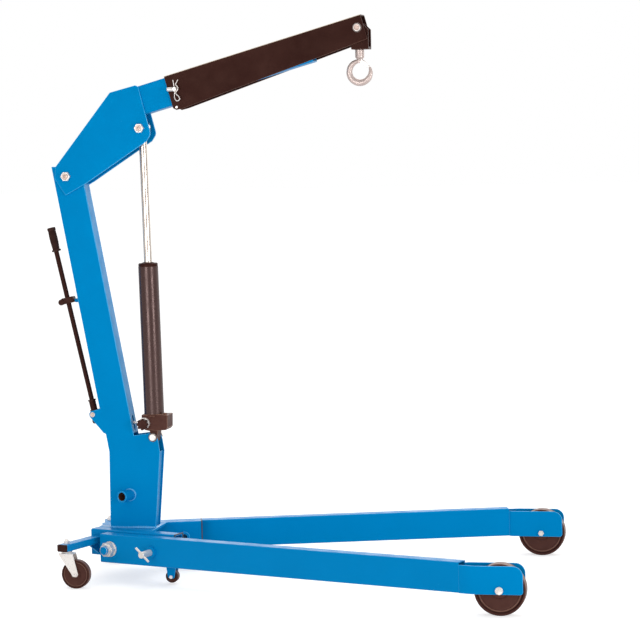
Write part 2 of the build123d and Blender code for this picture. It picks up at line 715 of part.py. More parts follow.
def hook_hanger():
    """The U-shaped hanger that hangs from the jib's end bolt."""
    with BuildPart() as hanger:
        with BuildSketch(side_plane(0, -HANGER_HALF, 0)):
            with BuildLine():
                Polyline(
                    (HANGER_X - 24, HANGER_BOTTOM), (HANGER_X + 36, HANGER_BOTTOM),
                    (HANGER_X + 36, HANGER_Z - 6), (HANGER_X + 14, HANGER_Z + 16),
                    (HANGER_X - 14, HANGER_Z + 16), (HANGER_X - 24, HANGER_Z - 6), close=True,
                )
            make_face()
        extrude(amount=-2 * HANGER_HALF)
        with BuildSketch(side_plane(HANGER_X, -HANGER_HALF + 6, HANGER_BOTTOM + 8 + 100)):
            Rectangle(200, 200)
        extrude(amount=-2 * (HANGER_HALF - 6), mode=Mode.SUBTRACT)
        with BuildSketch(side_plane(HANGER_X, -HANGER_HALF - 10, HANGER_Z)):
            Circle(BOLT_R + FIT_GAP)
        extrude(amount=-2 * HANGER_HALF - 20, mode=Mode.SUBTRACT)
        with BuildSketch(Plane(origin=(HANGER_X, 0, HANGER_BOTTOM - 5), z_dir=(0, 0, 1))):
            Circle(8 + FIT_GAP)
        extrude(amount=20, mode=Mode.SUBTRACT)
    return hanger


def hook_collar():
    """The nut that holds the hook's shank on top of the hanger's floor."""
    with BuildPart() as collar:
        with BuildSketch(Plane(origin=(HANGER_X, 0, HANGER_BOTTOM + 8.3), z_dir=(0, 0, 1))):
            RegularPolygon(15, 6)
            Circle(8, mode=Mode.SUBTRACT)
        extrude(amount=14)
    return collar


def hook():
    """The swivel hook: threaded shank, round collar and a swept bowl with a pointed tip."""
    low = HANGER_BOTTOM - 0.5
    with BuildPart() as body:
        with BuildSketch(Plane(origin=(HANGER_X, 0, HOOK_Z + HOOK_R - 4), z_dir=(0, 0, 1))):
            Circle(8)
        extrude(amount=HANGER_BOTTOM + 28 - HOOK_Z - HOOK_R + 4)
        with BuildSketch(Plane(origin=(HANGER_X, 0, low - 30), z_dir=(0, 0, 1))):
            Circle(15.5)
        extrude(amount=30)
        chamfer(body.faces().filter_by(Axis.Z).sort_by(Axis.Z)[1].edges(), length=3)
        sections = ((112, 8.0, 8.0), (160, 10.0, 8.5), (215, 11.0, 9.0), (270, 11.5, 9.5), (320, 10.0, 8.5),
                    (352, 7.5, 7.0), (383, 4.0, 4.5))
        for angle, wide, thick in sections:
            turn = math.radians(angle)
            radial = Vector(math.cos(turn), 0, math.sin(turn))
            centre = Vector(HANGER_X, 0, HOOK_Z) + radial * HOOK_R
            tangent = Vector(-math.sin(turn), 0, math.cos(turn))
            with BuildSketch(Plane(origin=centre, x_dir=radial, z_dir=tangent)):
                Ellipse(wide, thick)
        loft()
        with BuildSketch(side_plane(HANGER_X, -6, HOOK_Z + HOOK_R)):
            Circle(7)
        extrude(amount=-12)
        with BuildSketch(side_plane(LATCH_PIVOT[0], -20, LATCH_PIVOT[1])):
            Circle(LATCH_RIVET_R + FIT_GAP)
        extrude(amount=-40, mode=Mode.SUBTRACT)
    return body


def hook_latch():
    """The sprung safety latch: two light cheeks and a closing strip across the hook's mouth."""
    tip = (HANGER_X + 33, HOOK_Z + 19)
    with BuildPart() as latch:
        for y in (-11.3, 11.3 - 1.6):
            with BuildSketch(side_plane(0, y + 1.6, 0)):
                with BuildLine():
                    Polyline(
                        (LATCH_PIVOT[0] - 5, LATCH_PIVOT[1] + 3), (LATCH_PIVOT[0] + 4, LATCH_PIVOT[1] + 5),
                        (tip[0], tip[1] + 3), (tip[0] - 6, tip[1] - 4), (LATCH_PIVOT[0] - 2, LATCH_PIVOT[1] - 6),
                        close=True,
                    )
                make_face()
            extrude(amount=1.6)
        with BuildSketch(side_plane(0, 11.3, 0)):
            with BuildLine():
                Polyline(
                    (LATCH_PIVOT[0] + 16, LATCH_PIVOT[1] - 4.5), (tip[0], tip[1] + 3), (tip[0] - 2, tip[1] + 0.5),
                    (LATCH_PIVOT[0] + 14.5, LATCH_PIVOT[1] - 6.5), close=True,
                )
            make_face()
        extrude(amount=22.6)
        with BuildSketch(side_plane(LATCH_PIVOT[0], -12.5, LATCH_PIVOT[1])):
            Circle(LATCH_RIVET_R)
        extrude(amount=-25)
    return latch


RAM_WAY = (Vector(RAM_TOP[0], 0, RAM_TOP[1]) - Vector(RAM_BASE[0], 0, RAM_BASE[1])).normalized()
RAM_LENGTH = math.dist(RAM_BASE, RAM_TOP)


def ram_disc(at):
    """A plane square to the ram's axis, a given way up from its base pivot."""
    centre = Vector(RAM_BASE[0], 0, RAM_BASE[1]) + RAM_WAY * at
    return Plane(origin=centre, x_dir=(0, 1, 0), z_dir=RAM_WAY)


def ram_barrel():
    """The ram's cylinder tube."""
    with BuildPart() as barrel:
        with BuildSketch(ram_disc(BARREL_START)):
            Circle(BARREL_R)
            Circle(BARREL_R - BARREL_WALL, mode=Mode.SUBTRACT)
        extrude(amount=BARREL_END - BARREL_START)
    return barrel


def ram_gland():
    """The head nut that closes the barrel round the piston rod."""
    with BuildPart() as gland:
        with BuildSketch(ram_disc(BARREL_END)):
            Circle(BARREL_R - 1)
        extrude(amount=GLAND_END - BARREL_END)
        fillet(gland.faces().sort_by(Axis.Z)[-1].edges(), radius=4)
        with BuildSketch(ram_disc(BARREL_END - 30)):
            Circle(BARREL_R - BARREL_WALL)
        extrude(amount=30)
        with BuildSketch(ram_disc(BARREL_END - 40)):
            Circle(ROD_R + FIT_GAP)
        extrude(amount=70, mode=Mode.SUBTRACT)
    return gland


def piston_rod():
    """The chromed rod, with its piston below and its eye on top."""
    piston_at = 330.0
    with BuildPart() as rod:
        with BuildSketch(ram_disc(piston_at)):
            Circle(BARREL_R - BARREL_WALL - FIT_GAP)
        extrude(amount=28)
        with BuildSketch(ram_disc(piston_at)):
            Circle(ROD_R)
        extrude(amount=RAM_LENGTH - piston_at - 12)
        with BuildSketch(side_plane(RAM_TOP[0], -20, RAM_TOP[1])):
            Circle(EYE_R + 7)
        extrude(amount=-40)
        with BuildSketch(side_plane(RAM_TOP[0], -30, RAM_TOP[1])):
            Circle(EYE_R)
        extrude(amount=-60, mode=Mode.SUBTRACT)
    return rod


def pump_block():
    """The cast pump body under the barrel, with its base lug, valve boss and plunger bore."""
    lug_half = MAST_HALF - MAST_PLATE - 1.5
    with BuildPart() as block:
        with BuildSketch(side_plane(0, -lug_half, 0)):
            with BuildLine():
                Polyline(
                    (-536, 523), (-514, 519), (-512, 482), (-490, 482), (-484, 520), (-474, 526),
                    (-474, 560), (-536, 560), close=True,
                )
            make_face()
        extrude(amount=-2 * lug_half)
        with BuildSketch(side_plane(0, -36, 0)):
            with BuildLine():
                Polyline(
                    (-541, 577), (-541, 528), (-482, 522), (-452, 524), (-446, 532), (-445, 577),
                    close=True,
                )
            make_face()
        extrude(amount=-72)
        fillet(block.edges().filter_by(Axis.Z), radius=10)
        with BuildSketch(ram_disc(74)):
            Circle(BARREL_R + 3)
        extrude(amount=BARREL_START - 74)
        with BuildSketch(side_plane(RAM_BASE[0], -40, RAM_BASE[1])):
            Circle(BOLT_R + FIT_GAP)
        extrude(amount=-80, mode=Mode.SUBTRACT)
        with BuildSketch(Plane(origin=(-560, 0, PUMP_Z), x_dir=(0, 1, 0), z_dir=(1, 0, 0))):
            Circle(PLUNGER_R + PLUNGER_PLAY)
        extrude(amount=70, mode=Mode.SUBTRACT)
        with BuildSketch(side_plane(-529, -36, PUMP_Z + 0.5)):
            Circle(5 + FIT_GAP)
        extrude(amount=-20, mode=Mode.SUBTRACT)
        with BuildSketch(Plane(origin=(-458, -18, 577), z_dir=(0, 0, 1))):
            RegularPolygon(7, 6)
        extrude(amount=6)
    return block


def release_knob():
    """The star knob and spindle that open the release valve."""
    knob_y = -36 - 16
    with BuildPart() as knob:
        with BuildSketch(side_plane(-529, knob_y, PUMP_Z + 0.5)):
            Circle(16)
            with PolarLocations(15.5, 8):
                Circle(4.6)
        extrude(amount=16)
        fillet(knob.faces().sort_by(Axis.Y)[0].edges(), radius=1.2)
        with BuildSketch(side_plane(-529, knob_y, PUMP_Z + 0.5)):
            Circle(5)
        extrude(amount=-33)
    return knob


def pump_plunger():
    """The pump's plunger and push rod, with a slotted eye at the lever end."""
    pin_x = LEVER_PIVOT[0]
    with BuildPart() as rod:
        with BuildSketch(Plane(origin=(pin_x + 8, 0, PUMP_Z), x_dir=(0, 1, 0), z_dir=(1, 0, 0))):
            Circle(PLUNGER_R)
        extrude(amount=-525 - pin_x - 8)
        with BuildSketch(side_plane(pin_x, -3, EYE_Z)):
            SlotOverall(28.5, 20, rotation=90)
            SlotOverall(22.5, 10.2, rotation=90, mode=Mode.SUBTRACT)
        extrude(amount=-6)
    return rod


def handle_plane(at):
    """A plane square to the handle, a given way up from the lever's pivot."""
    turn = math.radians(HANDLE_LEAN)
    way = Vector(-math.sin(turn), 0, math.cos(turn))
    base = Vector(LEVER_PIVOT[0], 0, LEVER_PIVOT[1])
    return Plane(origin=base + way * at, x_dir=(0, 1, 0), z_dir=way)


def pump_lever():
    """The lever: two cheeks on the ear's bolt, a pin to the push rod, and the handle socket."""
    x, z = LEVER_PIVOT
    with BuildPart() as lever:
        for y in (-10, 5):
            with BuildSketch(side_plane(x, y + 5, z)):
                with BuildLine():
                    Polyline((-16, 13), (8, 17), (12, 0), (8, -LEVER_ARM), (-8, -LEVER_ARM), (-12, 0), close=True)
                make_face()
                with Locations((0, -LEVER_ARM)):
                    Circle(8.5)
            extrude(amount=5)
        with BuildSketch(side_plane(x, 12, z - LEVER_ARM)):
            Circle(4)
        extrude(amount=24)
        with BuildSketch(handle_plane(SOCKET_START)):
            Circle(12)
        extrude(amount=SOCKET_END - SOCKET_START - 4)
        with BuildSketch(handle_plane(SOCKET_END - 4)):
            Circle(15)
        extrude(amount=4)
        with BuildSketch(handle_plane(SOCKET_START + 6)):
            Circle(8.5 + FIT_GAP)
        extrude(amount=60, mode=Mode.SUBTRACT)
        with BuildSketch(side_plane(x, 15, z)):
            Circle(6 + FIT_GAP)
        extrude(amount=30, mode=Mode.SUBTRACT)
    return lever


def lever_bolt():
    """The lever's pivot bolt, held in the mast's two ears."""
    x, z = LEVER_PIVOT
    with BuildPart() as bolt:
        with BuildSketch(side_plane(x, -MAST_HALF, z)):
            Circle(9)
        extrude(amount=5)
        fillet(bolt.faces().sort_by(Axis.Y)[0].edges(), radius=1.5)
        with BuildSketch(side_plane(x, -MAST_HALF, z)):
            Circle(6)
        extrude(amount=-2 * MAST_HALF - 8)
        with BuildSketch(side_plane(x, MAST_HALF, z)):
            RegularPolygon(10, 6)
        extrude(amount=-7)
    return bolt


def pump_handle():
    """The handle rod, pushed into the lever's socket."""
    with BuildPart() as rod:
        with BuildSketch(handle_plane(SOCKET_START + 7)):
            Circle(8.5)
        extrude(amount=HANDLE_END - SOCKET_START - 7)
        chamfer(rod.faces().sort_by(Axis.Z)[-1].edges(), length=1.5)
    return rod


def handle_grip():
    """The ribbed rubber grip, with a flange at its lower end."""
    with BuildPart() as grip:
        with BuildSketch(handle_plane(GRIP_START)):
            Circle(12)
        extrude(amount=HANDLE_END + 4 - GRIP_START)
        fillet(grip.faces().sort_by(Axis.Z)[-1].edges(), radius=5)
        with BuildSketch(handle_plane(GRIP_START)):
            Circle(14.5)
        extrude(amount=4)
        with BuildSketch(handle_plane(GRIP_START - 1)):
            Circle(8.5)
        extrude(amount=HANDLE_END + 1 - GRIP_START, mode=Mode.SUBTRACT)
    return grip


def clip_post():
    """The pad and post welded to the mast's rear wall, for the handle's clip."""
    rear = mast_rear_x(CLIP_Z)
    with BuildPart() as post:
        with BuildSketch(side_plane(rear, 13, CLIP_Z, MAST_LEAN)):
            with Locations((-3, 0)):
                Rectangle(6, 84)
        extrude(amount=26)
        with BuildSketch(Plane(origin=(rear - 4, 0, CLIP_Z), x_dir=(0, 1, 0), z_dir=(-1, 0, 0))):
            Circle(7)
        extrude(amount=16)
    return post


def handle_clip():
    """The plastic clip on the post: two jaws either side of the handle, open to the rear."""
    way = handle_plane(0).z_dir
    handle_x = LEVER_PIVOT[0] + (CLIP_Z - LEVER_PIVOT[1]) * way.X / way.Z
    inner, outer, tall = 9.0, 14.0, 22.0
    with BuildPart() as clip:
        with BuildSketch(side_plane(handle_x, outer, CLIP_Z, HANDLE_LEAN)):
            with Locations((2, 0)):
                RectangleRounded(46, tall, 5)
        extrude(amount=2 * outer)
        with BuildSketch(side_plane(handle_x, inner, CLIP_Z, HANDLE_LEAN)):
            with Locations((-20, 0)):
                Rectangle(60, tall * 2)
        extrude(amount=2 * inner, mode=Mode.SUBTRACT)
        with BuildSketch(side_plane(handle_x, -outer, CLIP_Z, HANDLE_LEAN)):
            with Locations((-21, -2)):
                Circle(10.5)
        extrude(amount=4)
        with BuildSketch(side_plane(handle_x, -inner, CLIP_Z, HANDLE_LEAN)):
            with Locations((-21, -2)):
                Circle(10.5)
                Circle(3.5, mode=Mode.SUBTRACT)
        extrude(amount=outer - inner)
    return clip


os.makedirs("parts", exist_ok=True)

handed_pieces = {
    "chassis_rail": chassis_rail,
    "caster_arm": caster_arm,
    "mast_side_plate": mast_side_plate,
    "leg_tube": leg_tube,
    "leg_fork": leg_fork,
    "lock_pin": lock_pin,
    "front_axle": front_axle,
    "caster_fork": caster_fork,
    "caster_axle": caster_axle,
    "boom_side_plate": boom_side_plate,
}
for name, make in handed_pieces.items():
    right = make()
    save(right, f"{name}_right")
    save(mirrored(right), f"{name}_left")

paired_pieces = {
    "arm_gussets": arm_gusset,
    "arm_end_caps": arm_cap,
    "caster_stem_bolts": stem_bolt,
    "roller_brackets": roller_bracket,
    "roller_bolts": roller_bolt,
    "storage_bosses": storage_boss,
    "leg_pivot_fasteners": pivot_fasteners,
}
for name, make in paired_pieces.items():
    save(both_sides(make()), name)

roller_at = roller_place()
wheels = {
    "front_wheel": (WHEEL_X, WHEEL_Y, WHEEL_R, WHEEL_R, WHEEL_WIDTH, HUB_WIDTH, AXLE_R + FIT_GAP, 17),
    "caster_wheel": (
        STEM.X + CASTER_TRAIL, STEM.Y, CASTER_R, CASTER_R, CASTER_WIDTH, CASTER_GAP - 2, 4 + FIT_GAP, 12,
    ),
    "roller": (
        roller_at.X, roller_at.Y, ROLLER_Z, ROLLER_R, ROLLER_WIDTH, ROLLER_WIDTH + 2, 4 + FIT_GAP, 9,
    ),
}
for name, sizes in wheels.items():
    right = disc_wheel(*sizes)
    save(right, f"{name}_right")
    save(mirrored(right), f"{name}_left")

single_pieces = {
    "chassis_deck": chassis_deck,
    "mast_base_walls": mast_base_wall,
    "boom_tube": boom_tube,
    "jib_channel": jib_channel,
    "jib_bolts": jib_bolts,
    "jib_pin": jib_pin,
    "r_clip": r_clip,
    "hook_hanger": hook_hanger,
    "hook_collar": hook_collar,
    "hook": hook,
    "hook_latch": hook_latch,
    "mast_pivot_bolts": mast_pivot_bolts,
    "ram_top_bolt": ram_top_bolt,
    "ram_barrel": ram_barrel,
    "ram_gland": ram_gland,
    "piston_rod": piston_rod,
    "pump_block": pump_block,
    "release_knob": release_knob,
    "pump_plunger": pump_plunger,
    "pump_lever": pump_lever,
    "lever_bolt": lever_bolt,
    "pump_handle": pump_handle,
    "handle_grip": handle_grip,
    "clip_post": clip_post,
    "handle_clip": handle_clip,
}
for name, make in single_pieces.items():
    save(make(), name)

save(mast_wall(True), "mast_front_wall")
save(mast_wall(False), "mast_rear_wall")
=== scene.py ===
"""The engine hoist crane's look: paint, plating, welds, wheels and studio round the CAD frame."""

import json
import math
import random

import bmesh
import bpy
from mathutils import Matrix, Vector


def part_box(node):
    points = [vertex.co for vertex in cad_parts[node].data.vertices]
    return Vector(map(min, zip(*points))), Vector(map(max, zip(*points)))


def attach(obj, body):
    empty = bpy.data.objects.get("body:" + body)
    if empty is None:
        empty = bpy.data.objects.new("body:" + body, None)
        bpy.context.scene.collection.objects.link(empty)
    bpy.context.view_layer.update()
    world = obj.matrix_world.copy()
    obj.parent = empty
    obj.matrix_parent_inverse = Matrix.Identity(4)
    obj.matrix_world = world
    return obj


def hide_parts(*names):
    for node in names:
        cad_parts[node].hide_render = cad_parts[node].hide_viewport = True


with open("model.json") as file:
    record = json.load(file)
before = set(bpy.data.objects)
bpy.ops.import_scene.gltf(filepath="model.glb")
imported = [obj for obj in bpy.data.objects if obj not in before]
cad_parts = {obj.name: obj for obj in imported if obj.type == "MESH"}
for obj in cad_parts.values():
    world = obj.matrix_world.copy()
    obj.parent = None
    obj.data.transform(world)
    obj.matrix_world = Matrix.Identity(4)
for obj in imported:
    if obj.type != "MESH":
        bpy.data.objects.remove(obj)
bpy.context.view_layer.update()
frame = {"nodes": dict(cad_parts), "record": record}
NODES = frame["nodes"]
RECORD = frame["record"]
BODY_OF = {n: body for body, nodes in RECORD["behaviour"]["bodies"].items() for n in nodes}
SLOT_OF = {row["node"]: row["material_slot"] for row in RECORD["subparts"]}
SIDES = {"right": -1, "left": 1}

MM = 0.001
SPLAY = math.radians(17.8)
HANDLE_LEAN = math.radians(12.3)
SMOOTH_ANGLE = math.radians(38)
BEVEL_ANGLE = math.radians(35)
FLAT_ANGLE = math.radians(0.5)
MERGE_WITHIN = 0.002 * MM
RNG = random.Random(7)

BLUE = (0.0, 0.232, 0.56)
# Lighter blue: the colour of small scuffs, and also the painted highlight on rounded edges.
BLUE_SCUFF_AND_HIGHLIGHT = (0.06, 0.42, 0.80)
DARK = (0.0235, 0.0064, 0.0054)
# Lighter brown: the colour of small scuffs, and also the painted highlight on rounded edges.
DARK_SCUFF_AND_HIGHLIGHT = (0.085, 0.040, 0.031)
PLASTIC = (0.064, 0.0245, 0.0205)
COOL, WARM = (0.0, 0.55, 1.0), (1.0, 0.55, 0.42)
ZINC = (0.84, 0.80, 0.765)
CHROME = (0.84, 0.76, 0.68)
SKY_HORIZON, SKY_TOP, SKY_BACK, BACKDROP = 0.34, 0.70, 1.15, 1.0
FLOOR_REACH, FLOOR_GREY, FLOOR_GLOW, FLOOR_GLOW_SEEN = 60.0, 0.66, 0.16, 0.58
LIGHTS = (  # name, place, size, power
    ("key", (-1.5, -6.8, 1.1), 2.5, 108),
    ("fill", (5.0, -3.6, 1.3), 1.6, 85),
    ("top", (0.3, 0.5, 5.5), 3.0, 70),
)
LIGHT_TARGET = Vector((0, 0, 0.6))
CAMERA_PLACE = (1.8557, -7.9415, 1.5380)
CAMERA_TURN = (12.449, 4.449, -1.3)  # yaw, pitch, roll in degrees
CAMERA_LENS, CAMERA_SENSOR = 132.8, 36.0

# The Mix node's sockets: its two colours and their result, then its two plain values.
MIX_COLOURS, MIX_COLOUR_OUT, MIX_VALUES = (6, 7), 2, (2, 3)

EDGE_WIDTH = {  # in mm, where a node differs from its material's usual edge
    "boom_side_plate_right": 1.8, "boom_side_plate_left": 1.8,
    "mast_side_plate_right": 1.5, "mast_side_plate_left": 1.5,
    "pump_block": 1.1, "jib_channel": 0.8, "hook_hanger": 0.8,
    "leg_tube_right": 0.6, "leg_tube_left": 0.6,
}
PAINTED_EDGE, PLAIN_EDGE = 1.1, 0.5
BOLT_APART = 60 * MM  # bolts of one node stand further apart than this


# ---------------------------------------------------------------- materials

def node_of(tree, kind, **inputs):
    """A new shader node with its inputs set; an input may be a value or another node's socket."""
    made = tree.nodes.new(kind)
    for name, value in inputs.items():
        socket = made.inputs[name.replace("_", " ")]
        if isinstance(value, bpy.types.NodeSocket):
            tree.links.new(value, socket)
        else:
            socket.default_value = value
    return made


def noise(tree, scale, detail=4.0, rough=0.55, stretch=None):
    """Noise in the object's own coordinates, stretched along an axis if asked."""
    coords = tree.nodes.new("ShaderNodeTexCoord").outputs["Object"]
    if stretch:
        mapping = node_of(tree, "ShaderNodeMapping", Vector=coords)
        mapping.inputs["Scale"].default_value = stretch
        coords = mapping.outputs["Vector"]
    made = node_of(
        tree, "ShaderNodeTexNoise", Vector=coords, Scale=scale, Detail=detail, Roughness=rough
    )
    return made.outputs["Fac"]


def ramp(tree, source, low, high, start=0.35, end=0.65):
    """Maps a grey value to between two greys."""
    made = tree.nodes.new("ShaderNodeMapRange")
    tree.links.new(source, made.inputs["Value"])
    made.inputs["From Min"].default_value = start
    made.inputs["From Max"].default_value = end
    made.inputs["To Min"].default_value = low
    made.inputs["To Max"].default_value = high
    return made.outputs["Result"]


def mix_colour(tree, amount, one, two):
    """Mixes two colours; each may be a colour or a socket."""
    made = tree.nodes.new("ShaderNodeMix")
    made.data_type = "RGBA"
    tree.links.new(amount, made.inputs["Factor"])
    for index, value in zip(MIX_COLOURS, (one, two)):
        if isinstance(value, bpy.types.NodeSocket):
            tree.links.new(value, made.inputs[index])
        else:
            made.inputs[index].default_value = (*value, 1)
    return made.outputs[MIX_COLOUR_OUT]


def bump(tree, height, strength, distance, under=None):
    """A bump from a height, on top of another bump if asked."""
    made = node_of(tree, "ShaderNodeBump", Height=height, Strength=strength, Distance=distance)
    if under is not None:
        tree.links.new(under, made.inputs["Normal"])
    return made.outputs["Normal"]


def begin_material(name):
    """A new material, its node tree and its main shader."""
    material = bpy.data.materials.new(name)
    material.use_nodes = True
    tree = material.node_tree
    return material, tree, tree.nodes["Principled BSDF"]


def paint(name, colour, shade, scuff, rough, peel, tint, level=0.35, coat=0.0):
    """Brushed-on enamel: faint colour drift, orange peel, and small scuffs of a lighter colour."""
    material, tree, shader = begin_material(name)
    drift = ramp(tree, noise(tree, 4.0), 0.0, 1.0, 0.3, 0.7)
    base = mix_colour(tree, drift, colour, shade)
    marks = ramp(tree, noise(tree, 60.0, 8.0, 0.75), 0.0, 0.55, 0.66, 0.76)
    tree.links.new(mix_colour(tree, marks, base, scuff), shader.inputs["Base Color"])
    dull = ramp(tree, noise(tree, 22.0, 6.0), rough - 0.05, rough + 0.09)
    tree.links.new(dull, shader.inputs["Roughness"])
    fine = bump(tree, noise(tree, 420.0, 2.0), peel, 0.0006)
    broad = bump(tree, noise(tree, 45.0, 3.0), peel * 0.5, 0.0012, fine)
    tree.links.new(broad, shader.inputs["Normal"])
    shader.inputs["Specular Tint"].default_value = (*tint, 1)
    shader.inputs["Specular IOR Level"].default_value = level
    shader.inputs["Coat Weight"].default_value = coat
    shader.inputs["Coat Roughness"].default_value = 0.14
    return material


def plating(name, colour, shade, metallic, rough, spangle, brushed=None):
    """Zinc or chrome plate: faint crystals or brush lines, and a duller, darker tone in patches."""
    material, tree, shader = begin_material(name)
    patches = ramp(tree, noise(tree, 28.0, 5.0), 0.0, 1.0, 0.3, 0.8)
    tree.links.new(mix_colour(tree, patches, colour, shade), shader.inputs["Base Color"])
    dull = ramp(tree, noise(tree, 160.0, 5.0, 0.6, brushed), rough - 0.06, rough + 0.12)
    tree.links.new(dull, shader.inputs["Roughness"])
    shader.inputs["Metallic"].default_value = metallic
    grain = bump(tree, noise(tree, 700.0, 3.0, 0.6, brushed), spangle, 0.0003)
    tree.links.new(grain, shader.inputs["Normal"])
    return material


def moulded(name, colour, shade, rough, grain, grain_scale=520.0, level=0.25):
    """Moulded plastic or rubber: fine grain, slight colour drift and rubbed patches."""
    material, tree, shader = begin_material(name)
    drift = ramp(tree, noise(tree, 30.0, 6.0), 0.0, 1.0, 0.35, 0.75)
    tree.links.new(mix_colour(tree, drift, colour, shade), shader.inputs["Base Color"])
    dull = ramp(tree, noise(tree, 70.0, 5.0), rough - 0.07, rough + 0.1)
    tree.links.new(dull, shader.inputs["Roughness"])
    texture = bump(tree, noise(tree, grain_scale, 3.0), grain, 0.0005)
    tree.links.new(texture, shader.inputs["Normal"])
    shader.inputs["Specular Tint"].default_value = (*WARM, 1)
    shader.inputs["Specular IOR Level"].default_value = level
    return material


def casting(name, colour, shade, rough):
    """Painted sand casting: coarse pits and lumps under dark paint."""
    material, tree, shader = begin_material(name)
    drift = ramp(tree, noise(tree, 18.0, 6.0), 0.0, 1.0, 0.3, 0.75)
    tree.links.new(mix_colour(tree, drift, colour, shade), shader.inputs["Base Color"])
    dull = ramp(tree, noise(tree, 60.0, 5.0), rough - 0.08, rough + 0.1)
    tree.links.new(dull, shader.inputs["Roughness"])
    lumps = bump(tree, noise(tree, 120.0, 6.0, 0.65), 0.5, 0.0012)
    pits = bump(tree, noise(tree, 600.0, 4.0), 0.35, 0.0005, lumps)
    tree.links.new(pits, shader.inputs["Normal"])
    shader.inputs["Specular Tint"].default_value = (*WARM, 1)
    shader.inputs["Specular IOR Level"].default_value = 0.3
    return material


MATERIALS = {
    "blue_paint": paint("blue_enamel", BLUE, (0.0, 0.215, 0.52), BLUE_SCUFF_AND_HIGHLIGHT, 0.34, 0.12, COOL),
    "black_paint": paint(
        "black_enamel", DARK, (0.039, 0.0125, 0.0102), DARK_SCUFF_AND_HIGHLIGHT, 0.42, 0.15, WARM, 0.15,
    ),
    "zinc_plate": plating("zinc_plate", ZINC, (0.80, 0.73, 0.68), 0.55, 0.32, 0.04),
    "chromed_rod": plating(
        "chromed_rod", CHROME, (0.80, 0.68, 0.60), 0.95, 0.13, 0.03, (1, 1, 0.05),
    ),
    "hook_steel": plating("hook_steel", (0.70, 0.58, 0.54), (0.52, 0.41, 0.38), 0.6, 0.36, 0.3),
    "wheel_plastic": moulded("wheel_nylon", PLASTIC, (0.080, 0.032, 0.026), 0.42, 0.12),
    "black_plastic": moulded("black_plastic", DARK, (0.055, 0.022, 0.019), 0.45, 0.25),
    "rubber_grip": moulded("rubber_grip", (0.032, 0.014, 0.012), (0.055, 0.028, 0.024), 0.62, 0.35),
}
# Lighter enamels for the bevelled edges: a painted highlight where the rounded edges catch the
# light.
EDGE_HIGHLIGHTS = {
    "blue_paint": paint(
        "blue_enamel_edge_highlight", BLUE_SCUFF_AND_HIGHLIGHT, (0.02, 0.36, 0.74), (0.3, 0.6, 0.9), 0.3, 0.1,
        COOL, 0.5, 0.3,
    ),
    "black_paint": paint(
        "black_enamel_edge_highlight", DARK_SCUFF_AND_HIGHLIGHT, (0.10, 0.050, 0.038), (0.3, 0.2, 0.15), 0.36, 0.1,
        WARM, 0.5,
    ),
}
CAST = casting("cast_black", (0.060, 0.022, 0.018), (0.082, 0.034, 0.028), 0.46)
GLOSS = paint(
    "ram_enamel", (0.027, 0.0085, 0.0078), (0.034, 0.012, 0.010), DARK_SCUFF_AND_HIGHLIGHT, 0.27, 0.10,
    (1.0, 0.72, 0.68), 0.9,
)
# Tan for the pump block's bevelled edges: a painted highlight rim.
CAST_EDGE_HIGHLIGHT = paint(
    "cast_edge_highlight", (0.34, 0.19, 0.13), (0.20, 0.10, 0.07), (0.5, 0.35, 0.25), 0.4, 0.3, WARM, 0.5,
)
# The welds are enamelled over; their lighter blue and near-white flecks are painted highlight and
# glints.
WELD = paint(
    "highlit_blue_weld", (0.16, 0.55, 0.90), (0.02, 0.30, 0.66), (0.8, 0.95, 1.0), 0.16, 0.3,
    (1, 1, 1), 0.8, 0.8,
)
# Cream for the jib's upward rounded edge: a painted highlight.
TOP_EDGE_HIGHLIGHT = paint(
    "lit_edge", (0.66, 0.55, 0.43), (0.50, 0.38, 0.28), (0.8, 0.7, 0.6), 0.35, 0.1, (1, 1, 1), 0.5,
)
# Dark brown for the insides of the storage bosses: painted shade.
BORE_SHADE = casting("bore_shade", (0.030, 0.012, 0.008), (0.075, 0.028, 0.018), 0.6)
# Dark oxide for the washers; also used as painted shade round the rails' ends.
DARK_OXIDE_AND_SHADE = plating("black_oxide_and_shade", (0.10, 0.075, 0.07), (0.16, 0.12, 0.11), 0.8, 0.42, 0.3)
# Lighter nylon for the wheels' treads and rim beads: a painted highlight.
TREAD_HIGHLIGHT = moulded("highlit_nylon", (0.17, 0.088, 0.066), (0.10, 0.046, 0.036), 0.38, 0.2, level=0.5)
WORN = plating("worn_zinc", (0.70, 0.54, 0.47), (0.52, 0.38, 0.33), 0.5, 0.4, 0.4)


# ---------------------------------------------------------------- shapes

def new_piece(name, bm, body, material, smooth=True, replaces=()):
    """Turns a bmesh into a piece that rides on a body."""
    bmesh.ops.recalc_face_normals(bm, faces=bm.faces)
    mesh = bpy.data.meshes.new(name)
    bm.to_mesh(mesh)
    bm.free()
    for face in mesh.polygons:
        face.use_smooth = smooth
    if smooth:
        mesh.set_sharp_from_angle(angle=SMOOTH_ANGLE)
    piece = bpy.data.objects.new(name, mesh)
    bpy.context.scene.collection.objects.link(piece)
    mesh.materials.append(material)
    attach(piece, body)
    if replaces:
        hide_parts(*replaces)
    return piece


def frame_at(centre, axis, side=None):
    """A matrix whose Z runs along an axis at a centre."""
    z = Vector(axis).normalized()
    x = Vector(side) if side is not None else Vector((0, 0, 1) if abs(z.z) < 0.9 else (1, 0, 0))
    x = (x - z * x.dot(z)).normalized()
    y = z.cross(x)
    turn = Matrix((x, y, z)).transposed().to_4x4()
    return Matrix.Translation(Vector(centre)) @ turn


def add_lathe(bm, profile, place, segments=64):
    """Adds a turned shape: profile is (radius, height) pairs, closed into itself."""
    rings = []
    for radius, height in profile:
        ring = []
        for step in range(segments):
            angle = 2 * math.pi * step / segments
            point = Vector((radius * math.cos(angle), radius * math.sin(angle), height))
            ring.append(bm.verts.new(place @ point))
        rings.append(ring)
    for one, two in zip(rings, rings[1:]):
        for step in range(segments):
            after = (step + 1) % segments
            bm.faces.new((one[step], one[after], two[after], two[step]))
    return rings


